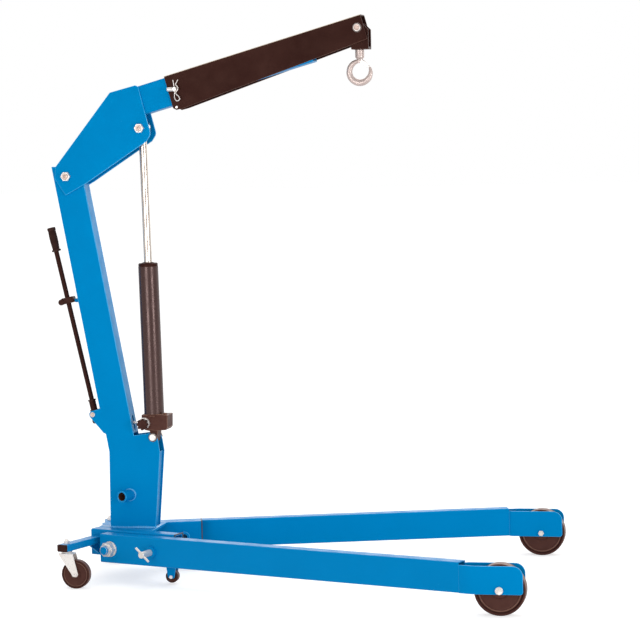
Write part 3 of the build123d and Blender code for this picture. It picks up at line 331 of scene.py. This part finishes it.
def cap_lathe(bm, rings):
    """Closes both ends of a turned shape."""
    bm.faces.new(rings[0])
    bm.faces.new(rings[-1])


def turned_piece(name, profile, place, body, material, segments):
    """A piece made of one turned shape with closed ends."""
    bm = bmesh.new()
    cap_lathe(bm, add_lathe(bm, profile, place, segments))
    return new_piece(name, bm, body, material)


def arc(centre, radius, start, end, steps):
    """Points of an arc in a profile, angles in degrees."""
    out = []
    for step in range(steps + 1):
        angle = math.radians(start + (end - start) * step / steps)
        out.append((centre[0] + radius * math.cos(angle), centre[1] + radius * math.sin(angle)))
    return out


def add_ring(bm, place, inner, outer, thick, segments=40, round_by=0.0004):
    """Adds a washer with slightly rounded edges, its lower face on the place's plane."""
    r = round_by
    profile = [
        (inner + r, 0), (outer - r, 0), (outer, r), (outer, thick - r), (outer - r, thick),
        (inner + r, thick), (inner, thick - r), (inner, r), (inner + r, 0),
    ]
    add_lathe(bm, profile, place, segments)


def resample(points, pitch, closed=False):
    """Evenly spaced points along a polyline."""
    points = [Vector(p) for p in points]
    if closed:
        points.append(points[0])
    out, left = [points[0].copy()], pitch
    for one, two in zip(points, points[1:]):
        span = (two - one).length
        at = left
        while at <= span:
            out.append(one.lerp(two, at / span))
            at += pitch
        left = at - span
    return out


def add_weld(bm, points, radius=0.0032, closed=False):
    """Adds a weld bead along a line: a lumpy run of overlapping ripples."""
    pitch = radius * 0.45
    path = resample(points, pitch, closed)
    if len(path) < 4:
        return
    rings = []
    phase = RNG.uniform(0, 6)
    for index, point in enumerate(path):
        before = path[index - 1] if index or closed else point
        after = path[(index + 1) % len(path)] if index + 1 < len(path) or closed else point
        way = (after - before).normalized() if (after - before).length else Vector((1, 0, 0))
        side = way.cross(Vector((0, 0, 1)))
        if side.length < 0.2:
            side = way.cross(Vector((0, 1, 0)))
        side.normalize()
        top = side.cross(way)
        ripple = 0.78 + 0.26 * abs(math.sin(index * 0.75 + phase))
        swell = 1 + 0.20 * math.sin(index * 0.11 + phase) + RNG.uniform(-0.08, 0.08)
        size = radius * ripple * swell
        if not closed and index in (0, len(path) - 1):
            size *= 0.5
        ring = []
        for step in range(8):
            angle = 2 * math.pi * step / 8
            out = side * math.cos(angle) + top * math.sin(angle)
            ring.append(bm.verts.new(point + out * size))
        rings.append(ring)
    pairs = list(zip(rings, rings[1:]))
    if closed:
        pairs.append((rings[-1], rings[0]))
    for one, two in pairs:
        for step in range(8):
            after = (step + 1) % 8
            bm.faces.new((one[step], one[after], two[after], two[step]))
    if not closed:
        bm.faces.new(rings[0])
        bm.faces.new(rings[-1])


def weld_piece(name, runs, body, radius=0.0032, closed=False):
    """One piece holding several weld runs."""
    bm = bmesh.new()
    for run in runs:
        add_weld(bm, run, radius, closed)
    return new_piece(name, bm, body, WELD)


def near(node, test):
    """The node's vertices that pass a test."""
    return [v.co.copy() for v in NODES[node].data.vertices if test(v.co)]


def middle(node):
    """The middle of a node's box."""
    low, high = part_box(node)
    return (low + high) / 2


def vertex_span(node, height, tolerance=0.6 * MM):
    """The lowest and highest x, y and z of a node's vertices at one height."""
    found = near(node, lambda co: abs(co.z - height) < tolerance)
    return [(min(co[axis] for co in found), max(co[axis] for co in found)) for axis in range(3)]


# ---------------------------------------------------------------- CAD nodes

def dress(node):
    """Gives a CAD node its finish and softly rounded edges; on painted parts the edges are coloured
    lighter, a painted highlight.
    """
    obj, slot = NODES[node], SLOT_OF[node]
    obj.data.materials.clear()
    cast = node == "pump_block"
    obj.data.materials.append({"pump_block": CAST, "ram_barrel": GLOSS}.get(node, MATERIALS[slot]))
    obj.data.materials.append(CAST_EDGE_HIGHLIGHT if cast else EDGE_HIGHLIGHTS.get(slot, MATERIALS[slot]))
    joined = obj.modifiers.new("joined", "WELD")
    joined.merge_threshold = MERGE_WITHIN
    flat = obj.modifiers.new("flat", "DECIMATE")
    flat.decimate_type = "DISSOLVE"
    flat.angle_limit = FLAT_ANGLE
    edge = obj.modifiers.new("edge", "BEVEL")
    usual = PAINTED_EDGE if slot == "blue_paint" else PLAIN_EDGE
    edge.width = EDGE_WIDTH.get(node, usual) * MM
    edge.segments = 2
    edge.limit_method = "ANGLE"
    edge.angle_limit = BEVEL_ANGLE
    edge.use_clamp_overlap = False
    # The bevels take the lighter edge material, a painted highlight; the leg tubes keep plain paint
    # there.
    edge.material = 1 if (cast or slot in EDGE_HIGHLIGHTS) and not node.startswith("leg_tube") else 0
    even = obj.modifiers.new("even", "WEIGHTED_NORMAL")
    even.keep_sharp = False
    # The jib's upward-facing rounded edge faces take the cream material, a painted highlight.
    if node == "jib_channel":
        obj.data.materials.append(TOP_EDGE_HIGHLIGHT)
    for face in obj.data.polygons:
        face.use_smooth = True
        if node == "jib_channel" and face.normal.z > 0.15 and abs(face.normal.y) > 0.2:
            face.material_index = 2


# ---------------------------------------------------------------- wheels and turned pieces

def wheel(node, web=0.70, rim=0.80, bead=0.93, hub=0.30):
    """A moulded wheel: crowned tread, raised rim, groove, dished web with a bead, and hub."""
    low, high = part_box(node)
    centre, radius, half_hub = (low + high) / 2, (high.z - low.z) / 2, (high.y - low.y) / 2
    half = half_hub - (3 if radius > 0.06 else 2) * MM
    round_by = radius * 0.07
    side = [
        (radius * 0.09, half_hub), (radius * hub, half_hub),
        (radius * hub + 1.5 * MM, half_hub - 1.5 * MM), (radius * (hub + 0.05), half * web),
    ]
    side += [(radius * (rim - 0.10), half * (web - 0.02)), (radius * (rim - 0.03), half * web)]
    side += arc((radius * (rim + 0.02), half * (web + 0.04)), radius * 0.04, 190, 0, 8)
    side += [
        (radius * (rim + 0.08), half * (web - 0.04)), (radius * (bead - 0.03), half * (web + 0.04)),
        (radius * bead, half - 0.6 * MM), (radius * bead + 1 * MM, half),
    ]
    side += arc((radius - round_by, half - round_by), round_by, 90, 0, 6)
    side += [(radius, half * 0.35), (radius, 0)]
    profile = side + [(r, -h) for r, h in reversed(side[:-1])]
    bm = bmesh.new()
    rings = add_lathe(bm, profile, frame_at(centre, (0, 1, 0)), 96)
    for step in range(96):
        after = (step + 1) % 96
        bm.faces.new((rings[-1][step], rings[-1][after], rings[0][after], rings[0][step]))
    slot = SLOT_OF[node]
    made = new_piece(node + "_moulding", bm, BODY_OF[node], MATERIALS[slot], replaces=(node,))
    made.data.materials.append(TREAD_HIGHLIGHT)
    # The tread and the rim bead take the lighter nylon, a painted highlight.
    for face in made.data.polygons:
        away = face.center - centre
        reach = Vector((away.x, away.z)).length / radius
        if reach > 0.985 or abs(reach - rim - 0.02) < 0.028:
            face.material_index = 1
    return made


def handle_grip():
    """The rubber grip: finger ribs, a rounded end and a collar."""
    node = "handle_grip"
    way = Vector((-math.sin(HANDLE_LEAN), 0, math.cos(HANDLE_LEAN)))
    spots = [v.co.dot(way) for v in NODES[node].data.vertices]
    start, end = min(spots), max(spots)
    centre = middle(node)
    base = centre + way * (start - centre.dot(way))
    length = end - start
    bore = 8.5 * MM
    profile = [
        (bore, 0), (15.0 * MM, 0), (16.2 * MM, 1.2 * MM), (16.2 * MM, 5 * MM),
        (15 * MM, 6.2 * MM), (12.2 * MM, 8 * MM),
    ]
    steps = 26 * 4  # four steps to each of 26 ribs
    for index in range(steps + 1):
        along = 10 * MM + (length - 22 * MM) * index / steps
        swell = 12.4 + 1.5 * math.sin(math.pi * index / steps) + 1.0 * index / steps
        profile.append(((swell + 0.5 * math.sin(index * math.pi / 2)) * MM, along))
    profile += [(14.6 * MM, length - 10 * MM), (14.9 * MM, length - 5 * MM)]
    profile += arc((10.9 * MM, length - 4 * MM), 4 * MM, 0, 90, 6)
    profile += [(0.2 * MM, length)]
    bm = bmesh.new()
    rings = add_lathe(bm, profile, frame_at(base, way), 48)
    cap_lathe(bm, rings)
    slot = "rubber_grip"
    new_piece("grip_moulding", bm, BODY_OF[node], MATERIALS[slot], replaces=(node,))


def tube_along(bm, points, radius, sides=10, closed=False):
    """Adds a round tube along smooth points."""
    count = len(points)
    rings = []
    up = Vector((0, 1, 0))
    for index, point in enumerate(points):
        before = points[index - 1] if index or closed else point
        after = points[(index + 1) % count] if index + 1 < count or closed else point
        way = (after - before).normalized()
        side = way.cross(up)
        side = side.normalized() if side.length > 0.05 else way.orthogonal().normalized()
        top = side.cross(way)
        size = radius(index / (count - 1)) if callable(radius) else (radius, radius)
        ring = []
        for step in range(sides):
            angle = 2 * math.pi * step / sides
            offset = side * math.cos(angle) * size[0] + top * math.sin(angle) * size[1]
            ring.append(bm.verts.new(point + offset))
        rings.append(ring)
    for one, two in zip(rings, rings[1:]):
        for step in range(sides):
            after = (step + 1) % sides
            bm.faces.new((one[step], one[after], two[after], two[step]))
    bm.faces.new(rings[0])
    bm.faces.new(rings[-1])


def smooth_line(points, steps=10):
    """A Catmull-Rom curve through points."""
    points = [Vector(p) for p in points]
    padded = [points[0] * 2 - points[1]] + points + [points[-1] * 2 - points[-2]]
    out = []
    for one, two, three, four in zip(padded, padded[1:], padded[2:], padded[3:]):
        for step in range(steps):
            t = step / steps
            out.append(
                0.5 * (
                    2 * two + (three - one) * t + (2 * one - 5 * two + 4 * three - four) * t * t
                    + (3 * two - one - 3 * three + four) * t ** 3
                )
            )
    return out + [points[-1]]


# ---------------------------------------------------------------- welds

def leg_way(side):
    """The direction a leg points, and the direction square to it towards the crane's middle."""
    y, c, s = SIDES[side], math.cos(SPLAY), math.sin(SPLAY)
    return Vector((c, y * s, 0)), Vector((s, -y * c, 0))


def mast_welds():
    """The runs that join the mast's foot to the deck."""
    runs = []
    deck_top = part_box("chassis_deck")[1].z
    foot = vertex_span("mast_side_plate_right", deck_top)
    for side, y in SIDES.items():
        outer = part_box(f"mast_side_plate_{side}")[0 if y < 0 else 1].y
        runs.append([(foot[0][0], outer, deck_top), (foot[0][1], outer, deck_top)])
    low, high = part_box("mast_side_plate_right")[0].y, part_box("mast_side_plate_left")[1].y
    for x in foot[0]:
        runs.append([(x, low, deck_top), (x, high, deck_top)])
    weld_piece("mast_foot_weld", runs, "chassis", 5.0 * MM)


def boss_welds():
    """The beads round the storage bosses."""
    for side, y in SIDES.items():
        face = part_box(f"mast_side_plate_{side}")[0 if y < 0 else 1].y
        boss = near("storage_bosses", lambda co: abs(co.y - face) < 3 * MM)
        low = Vector((min(c.x for c in boss), face, min(c.z for c in boss)))
        high = Vector((max(c.x for c in boss), face, max(c.z for c in boss)))
        spot, wide, tall = (low + high) / 2, (high.x - low.x) / 2, (high.z - low.z) / 2
        ring = []
        for step in range(48):
            angle = 2 * math.pi * step / 48
            ring.append(spot + Vector((wide * math.cos(angle), 0, tall * math.sin(angle))))
        weld_piece(f"boss_weld_{side}", [ring], "chassis", 3.0 * MM, closed=True)


# ---------------------------------------------------------------- hook, clip and small parts

def hook_forging():
    """The forged hook: threaded shank, collar, bowl, eye and latch rivet."""
    node = "hook"
    low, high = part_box(node)
    shank = near(node, lambda co: co.z > high.z - 1 * MM)
    x = sum(v.x for v in shank) / len(shank)
    collar_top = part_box("hook_hanger")[0].z - 0.5 * MM
    bowl_r, foot = 37 * MM, 11.5 * MM
    centre = Vector((x, 0, low.z + foot + bowl_r))
    bm = bmesh.new()
    top = high.z - collar_top
    stem = [(0.2 * MM, top), (7 * MM, top), (7.9 * MM, top - 1 * MM)]
    for turn in range(28):  # a crest and a root for each of 14 threads
        stem.append(((7.95 if turn % 2 else 7.45) * MM, top - (2 + turn * 0.62) * MM))
    stem += [(7.9 * MM, 8 * MM), (7.9 * MM, 0)]
    stem += [(14.2 * MM, 0), (15.4 * MM, -1.2 * MM), (15.4 * MM, -24 * MM)]
    stem += arc((11.4 * MM, -25 * MM), 4 * MM, 0, -70, 6)
    stem += [(9.5 * MM, -32 * MM), (8.4 * MM, -38 * MM), (0.2 * MM, -39 * MM)]
    rings = add_lathe(bm, stem, frame_at((x, 0, collar_top), (0, 0, 1)), 48)
    cap_lathe(bm, rings)
    points, sizes = [], []
    sections = (  # angle round the bowl in degrees, then half width and half thickness in mm
        (96, 6.5, 6.5), (112, 7.6, 7.4), (135, 9.2, 8.4), (160, 10.0, 8.7), (215, 11.0, 9.2),
        (270, 11.5, 9.4), (320, 10.0, 8.5), (352, 7.5, 7.0), (374, 5.2, 5.4), (383, 3.9, 4.2),
        (387, 1.6, 1.8),
    )
    for (a1, w1, t1), (a2, w2, t2) in zip(sections, sections[1:]):
        for step in range(8):
            part = step / 8
            ease = part * part * (3 - 2 * part)
            angle = math.radians(a1 + (a2 - a1) * part)
            points.append(centre + Vector((math.cos(angle), 0, math.sin(angle))) * bowl_r)
            sizes.append(((w1 + (w2 - w1) * ease) * MM, (t1 + (t2 - t1) * ease) * MM))
    last = len(sizes) - 1
    tube_along(bm, points, lambda part: sizes[min(last, round(part * last))], 28)
    eye = frame_at((x, -6.5 * MM, centre.z + bowl_r), (0, 1, 0))
    boss = [
        (0.2 * MM, 0), (6.2 * MM, 0), (7 * MM, 0.8 * MM),
        (7 * MM, 12.2 * MM), (6.2 * MM, 13 * MM), (0.2 * MM, 13 * MM),
    ]
    rings = add_lathe(bm, boss, eye, 32)
    cap_lathe(bm, rings)
    rivet_at = frame_at((x + 3 * MM, -13.4 * MM, centre.z + bowl_r + 2 * MM), (0, 1, 0))
    heads = [
        (0.2 * MM, 0), (2.6 * MM, 0.2 * MM), (4.0 * MM, 1.2 * MM),
        (4.0 * MM, 1.8 * MM), (2.5 * MM, 1.8 * MM),
    ]
    heads += [(r, 26.8 * MM - h) for r, h in reversed(heads)]
    rings = add_lathe(bm, heads, rivet_at, 24)
    cap_lathe(bm, rings)
    new_piece(
        "hook_forging", bm, BODY_OF[node], MATERIALS["hook_steel"], replaces=(node,)
    )


def spring_clip():
    """The R clip, bent from round wire."""
    node = "r_clip"
    low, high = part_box(node)
    y, wire = (low.y + high.y) / 2, 1.6 * MM
    pin = Vector((low.x + 1.5 * MM, y, high.z - 28 * MM))
    bends = (
        (-4.5, 29), (-2.6, 16), (-0.4, 2), (0.4, -12), (-0.6, -24), (0.6, -35), (6, -42.5),
        (14, -42), (18, -35.5), (14.5, -28), (8, -22), (4.2, -17), (6, -11.5), (11, -6),
        (12.6, 0.5), (10, 7), (5.2, 12), (5.4, 16), (9, 22), (13, 29),
    )
    line = smooth_line([pin + Vector((u * MM, 0, v * MM)) for u, v in bends], 6)
    bm = bmesh.new()
    tube_along(bm, line, wire, 12)
    new_piece(
        "r_clip_wire", bm, BODY_OF[node], MATERIALS["zinc_plate"], replaces=(node,)
    )


def bolt_face(node, side, reach=3 * MM):
    """Each bolt's outermost face on one side (-1 for -Y): middle x and z, half-height, and y."""
    low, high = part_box(node)
    edge = low.y if side < 0 else high.y
    spots = near(node, lambda co: abs(co.y - edge) < reach)
    groups = []
    for spot in spots:
        for group in groups:
            if (Vector((spot.x, spot.z)) - group[0]).length < BOLT_APART:
                group[1].append(spot)
                break
        else:
            groups.append((Vector((spot.x, spot.z)), [spot]))
    out = []
    for _, found in groups:
        xs, zs = [v.x for v in found], [v.z for v in found]
        x, z, size = (min(xs) + max(xs)) / 2, (min(zs) + max(zs)) / 2, (max(zs) - min(zs)) / 2
        out.append((x, z, size, edge))
    return out


def head_discs():
    """Turned faces on the big bolt heads, so that each head shows a rim and a centre."""
    for node in (
        "mast_pivot_bolts", "ram_top_bolt", "jib_bolts", "lever_bolt", "front_axle_right",
        "front_axle_left",
    ):
        finish = MATERIALS["zinc_plate"] if "axle" in node else WORN
        for side in (-1, 1):
            for index, (x, z, size, edge) in enumerate(bolt_face(node, side)):
                r = size * 0.78
                disc = [
                    (r, -0.6 * MM), (r, 0.25 * MM), (r - 0.5 * MM, 0.5 * MM),
                    (r - 1.2 * MM, 0.2 * MM), (r * 0.34, 0.2 * MM), (r * 0.3, 0.55 * MM),
                    (r * 0.1, 0.6 * MM), (0.1 * MM, 0.6 * MM),
                ]
                bm = bmesh.new()
                add_lathe(bm, disc, frame_at((x, edge, z), (0, side, 0)), 40)
                name = f"{node}_mark_{'rl'[side > 0]}{index}"
                new_piece(name, bm, BODY_OF[node], finish)


def bolt_washers():
    """Dark washers under the hanger's bolt, the foremost, and the ram's base bolt, the lowest."""
    for bolt, plate, reach, chosen in (
        ("jib_bolts", "jib_channel", 16.5 * MM, lambda face: -face[0]),
        ("mast_pivot_bolts", "mast_side_plate", 16.0 * MM, lambda face: face[1]),
    ):
        for side in (-1, 1):
            x, z, _, _ = min(bolt_face(bolt, side, 40 * MM), key=chosen)
            node = plate if plate in NODES else f"{plate}_{'right' if side < 0 else 'left'}"
            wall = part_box(node)[0 if side < 0 else 1].y
            place = frame_at((x, wall - side * 0.4 * MM, z), (0, side, 0))
            bm = bmesh.new()
            add_ring(bm, place, 8 * MM, reach, 1.7 * MM)
            name = f"{bolt}_washer_{'rl'[side > 0]}"
            new_piece(name, bm, BODY_OF[bolt], DARK_OXIDE_AND_SHADE)


def pivot_ends():
    """The painted ends of the leg pivots' studs, inside their lock nuts."""
    for side, y in SIDES.items():
        _, inward = leg_way(side)
        spots = near("leg_pivot_fasteners", lambda co: co.y * y > 0)
        far = min(v.dot(inward) for v in spots)
        tip = [v for v in spots if v.dot(inward) < far + 0.5 * MM]
        spot = sum(tip, Vector()) / len(tip)
        place = frame_at(spot, -inward)
        size = max((v - spot).length for v in tip)
        stud = [
            (0.2 * MM, 0.9 * MM), (size * 0.45, 0.8 * MM), (size * 0.9, 0.3 * MM),
            (size + 0.5 * MM, -1.2 * MM), (size + 0.5 * MM, -6 * MM),
        ]
        body = BODY_OF["leg_pivot_fasteners"]
        turned_piece(
            f"pivot_stud_{side}", stud, place, body, MATERIALS["blue_paint"], 40
        )


def boss_bore_shades():
    """Dark linings inside the storage bosses: painted shade in the bores."""
    for side, y in SIDES.items():
        _, inward = leg_way(side)
        spots = near("storage_bosses", lambda co: co.y * y > 0)
        far = min(v.dot(inward) for v in spots)
        mouth = [v for v in spots if v.dot(inward) < far + 0.5 * MM]
        spot = sum(mouth, Vector()) / len(mouth)
        bore = min((v - spot).length for v in mouth) - 0.15 * MM
        liner = [
            (0.2 * MM, -34 * MM), (bore - 2 * MM, -34 * MM), (bore - 1 * MM, -32 * MM),
            (bore - 0.9 * MM, -2 * MM), (bore - 0.2 * MM, -1 * MM), (bore, -2 * MM),
            (bore, -35.5 * MM), (0.2 * MM, -35.5 * MM),
        ]
        place = frame_at(spot, -inward)
        turned_piece(f"boss_bore_shade_{side}", liner, place, "chassis", BORE_SHADE, 48)


def rail_end_shades():
    """A dark frame round the front end of each chassis rail: painted shade standing for the
    shadowed open end.
    """
    for side in SIDES:
        along, inward = leg_way(side)
        spots = near(f"chassis_rail_{side}", lambda co: True)
        far = max(v.dot(along) for v in spots)
        end = [v for v in spots if v.dot(along) > far - 0.5 * MM]
        across = [v.dot(inward) for v in end]
        low, high = min(v.z for v in end), max(v.z for v in end)
        corners = ((min(across), low), (max(across), low), (max(across), high), (min(across), high))
        bm = bmesh.new()
        line = [along * (far + 0.2 * MM) + inward * u + Vector((0, 0, v)) for u, v in corners]
        for one, two in zip(line, line[1:] + line[:1]):
            tube_along(bm, resample([one, two], 4 * MM) + [two], 2.0 * MM, 8)
        # The dark material here is painted shade.
        new_piece(f"rail_end_shade_{side}", bm, "chassis", DARK_OXIDE_AND_SHADE)


def caster_races():
    """The ball races between the casters' forks and their arms."""
    race = [
        (5 * MM, -0.5 * MM), (19 * MM, -0.5 * MM), (19.6 * MM, 0.6 * MM), (18.6 * MM, 2.2 * MM),
        (16.6 * MM, 2.6 * MM), (16.6 * MM, 3.6 * MM), (18.2 * MM, 4.0 * MM), (18.6 * MM, 5.6 * MM),
        (16.0 * MM, 7.6 * MM), (5 * MM, 7.6 * MM),
    ]
    for side, sign in SIDES.items():
        node = f"caster_fork_{side}"
        stem = near("caster_stem_bolts", lambda co: (co.y > 0) == (sign > 0))
        x = (min(v.x for v in stem) + max(v.x for v in stem)) / 2
        y = (min(v.y for v in stem) + max(v.y for v in stem)) / 2
        place = frame_at((x, y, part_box(node)[1].z), (0, 0, 1), (1, 0, 0))
        body = BODY_OF[node]
        turned_piece(
            f"caster_race_{side}", race, place, body, MATERIALS["zinc_plate"], 48
        )


def gland_wiper():
    """The wiper lip on the ram's gland."""
    joints = RECORD["behaviour"]["joints"]
    joint = next(joint for joint in joints if joint["name"] == "piston_rod_slide")
    way = Vector(joint["axis"]).normalized()
    spot = middle("ram_gland")
    top = max(v.dot(way) for v in near("ram_gland", lambda co: True))
    bore = 14 * MM
    place = frame_at(spot + way * (top - spot.dot(way)), way)
    bm = bmesh.new()
    lip = [
        (bore, -3 * MM), (25 * MM, -3 * MM), (25 * MM, -0.2 * MM), (22 * MM, 1.0 * MM),
        (bore + 3 * MM, 2.6 * MM), (bore + 0.6 * MM, 3.4 * MM), (bore, 2.4 * MM),
    ]
    add_lathe(bm, lip + lip[:1], place, 56)
    new_piece("gland_wiper", bm, "ram", MATERIALS["rubber_grip"])


def valve_collar():
    """The bright gland nut behind the release knob, where its spindle enters the pump block."""
    low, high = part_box("release_knob")
    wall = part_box("pump_block")[0].y
    spot = Vector(((low.x + high.x) / 2, wall + 3 * MM, (low.z + high.z) / 2 + 1.5 * MM))
    bm = bmesh.new()
    add_ring(bm, frame_at(spot, (0, -1, 0)), 8.0 * MM, 20.5 * MM, 13 * MM, 48, 1.0 * MM)
    new_piece("valve_collar", bm, "ram", MATERIALS["zinc_plate"])


# ---------------------------------------------------------------- build

for name in NODES:
    dress(name)
for name in ("front_wheel", "caster_wheel", "roller"):
    for side_name in SIDES:
        wheel(f"{name}_{side_name}")
handle_grip()
hook_forging()
spring_clip()
mast_welds()
boss_welds()
head_discs()
bolt_washers()
pivot_ends()
valve_collar()
boss_bore_shades()
rail_end_shades()
caster_races()
gland_wiper()


# ---------------------------------------------------------------- studio

def sky(tree):
    """A soft sky, dim at the horizon and bright behind the crane, and a plain pale backdrop."""
    coords = tree.nodes.new("ShaderNodeTexCoord").outputs["Generated"]
    parts = node_of(tree, "ShaderNodeSeparateXYZ", Vector=coords).outputs
    level = tree.nodes.new("ShaderNodeMath")
    level.operation = "ADD"
    tree.links.new(ramp(tree, parts["Z"], SKY_HORIZON, SKY_TOP, 0.0, 0.9), level.inputs[0])
    tree.links.new(ramp(tree, parts["Y"], 0.0, SKY_BACK, 0.15, 0.95), level.inputs[1])
    background = tree.nodes["Background"]
    seen = tree.nodes.new("ShaderNodeLightPath").outputs["Is Camera Ray"]
    chosen = tree.nodes.new("ShaderNodeMix")
    tree.links.new(seen, chosen.inputs["Factor"])
    lit, plain = (chosen.inputs[index] for index in MIX_VALUES)
    tree.links.new(level.outputs[0], lit)
    plain.default_value = BACKDROP
    tree.links.new(chosen.outputs[0], background.inputs["Strength"])
    background.inputs["Color"].default_value = (1, 1, 1, 1)


def studio():
    """A pale floor, a white sky and three soft lights."""
    floor = bpy.data.meshes.new("floor")
    corners = [
        (x * FLOOR_REACH, y * FLOOR_REACH, 0) for x, y in ((-1, -1), (1, -1), (1, 1), (-1, 1))
    ]
    floor.from_pydata(corners, [], [(0, 1, 2, 3)])
    ground = bpy.data.objects.new("floor", floor)
    bpy.context.scene.collection.objects.link(ground)
    material, tree, shader = begin_material("floor")
    shader.inputs["Base Color"].default_value = (FLOOR_GREY, FLOOR_GREY, FLOOR_GREY, 1)
    shader.inputs["Emission Color"].default_value = (1, 1, 1, 1)
    seen = tree.nodes.new("ShaderNodeLightPath").outputs["Is Camera Ray"]
    glow = ramp(tree, seen, FLOOR_GLOW, FLOOR_GLOW_SEEN, 0.0, 1.0)
    tree.links.new(glow, shader.inputs["Emission Strength"])
    shader.inputs["Roughness"].default_value = 0.9
    shader.inputs["Specular IOR Level"].default_value = 0.0
    floor.materials.append(material)
    world = bpy.data.worlds.new("studio")
    bpy.context.scene.world = world
    world.use_nodes = True
    sky(world.node_tree)
    for name, place, size, power in LIGHTS:
        light = bpy.data.lights.new(name, "AREA")
        light.size = size
        light.energy = power
        lamp = bpy.data.objects.new(name, light)
        bpy.context.scene.collection.objects.link(lamp)
        lamp.location = place
        lamp.rotation_euler = (LIGHT_TARGET - Vector(place)).to_track_quat("-Z", "Y").to_euler()
    bpy.context.scene.view_settings.view_transform = "Standard"


def camera():
    """A long lens from the crane's right, a little behind its middle's square-on view."""
    yaw, pitch, roll = (math.radians(turn) for turn in CAMERA_TURN)
    level = math.cos(pitch)
    ahead = Vector((-math.sin(yaw) * level, math.cos(yaw) * level, -math.sin(pitch)))
    right = Vector((math.cos(yaw), math.sin(yaw), 0))
    up = right.cross(ahead)
    across = right * math.cos(roll) + up * math.sin(roll)
    upright = up * math.cos(roll) - right * math.sin(roll)
    lens = bpy.data.cameras.new("camera")
    lens.sensor_width = CAMERA_SENSOR
    lens.lens = CAMERA_LENS
    lens.clip_end = 200.0
    made = bpy.data.objects.new("camera", lens)
    bpy.context.scene.collection.objects.link(made)
    turn = Matrix((across, upright, -ahead)).transposed().to_4x4()
    made.matrix_world = Matrix.Translation(CAMERA_PLACE) @ turn
    bpy.context.scene.camera = made


studio()
camera()
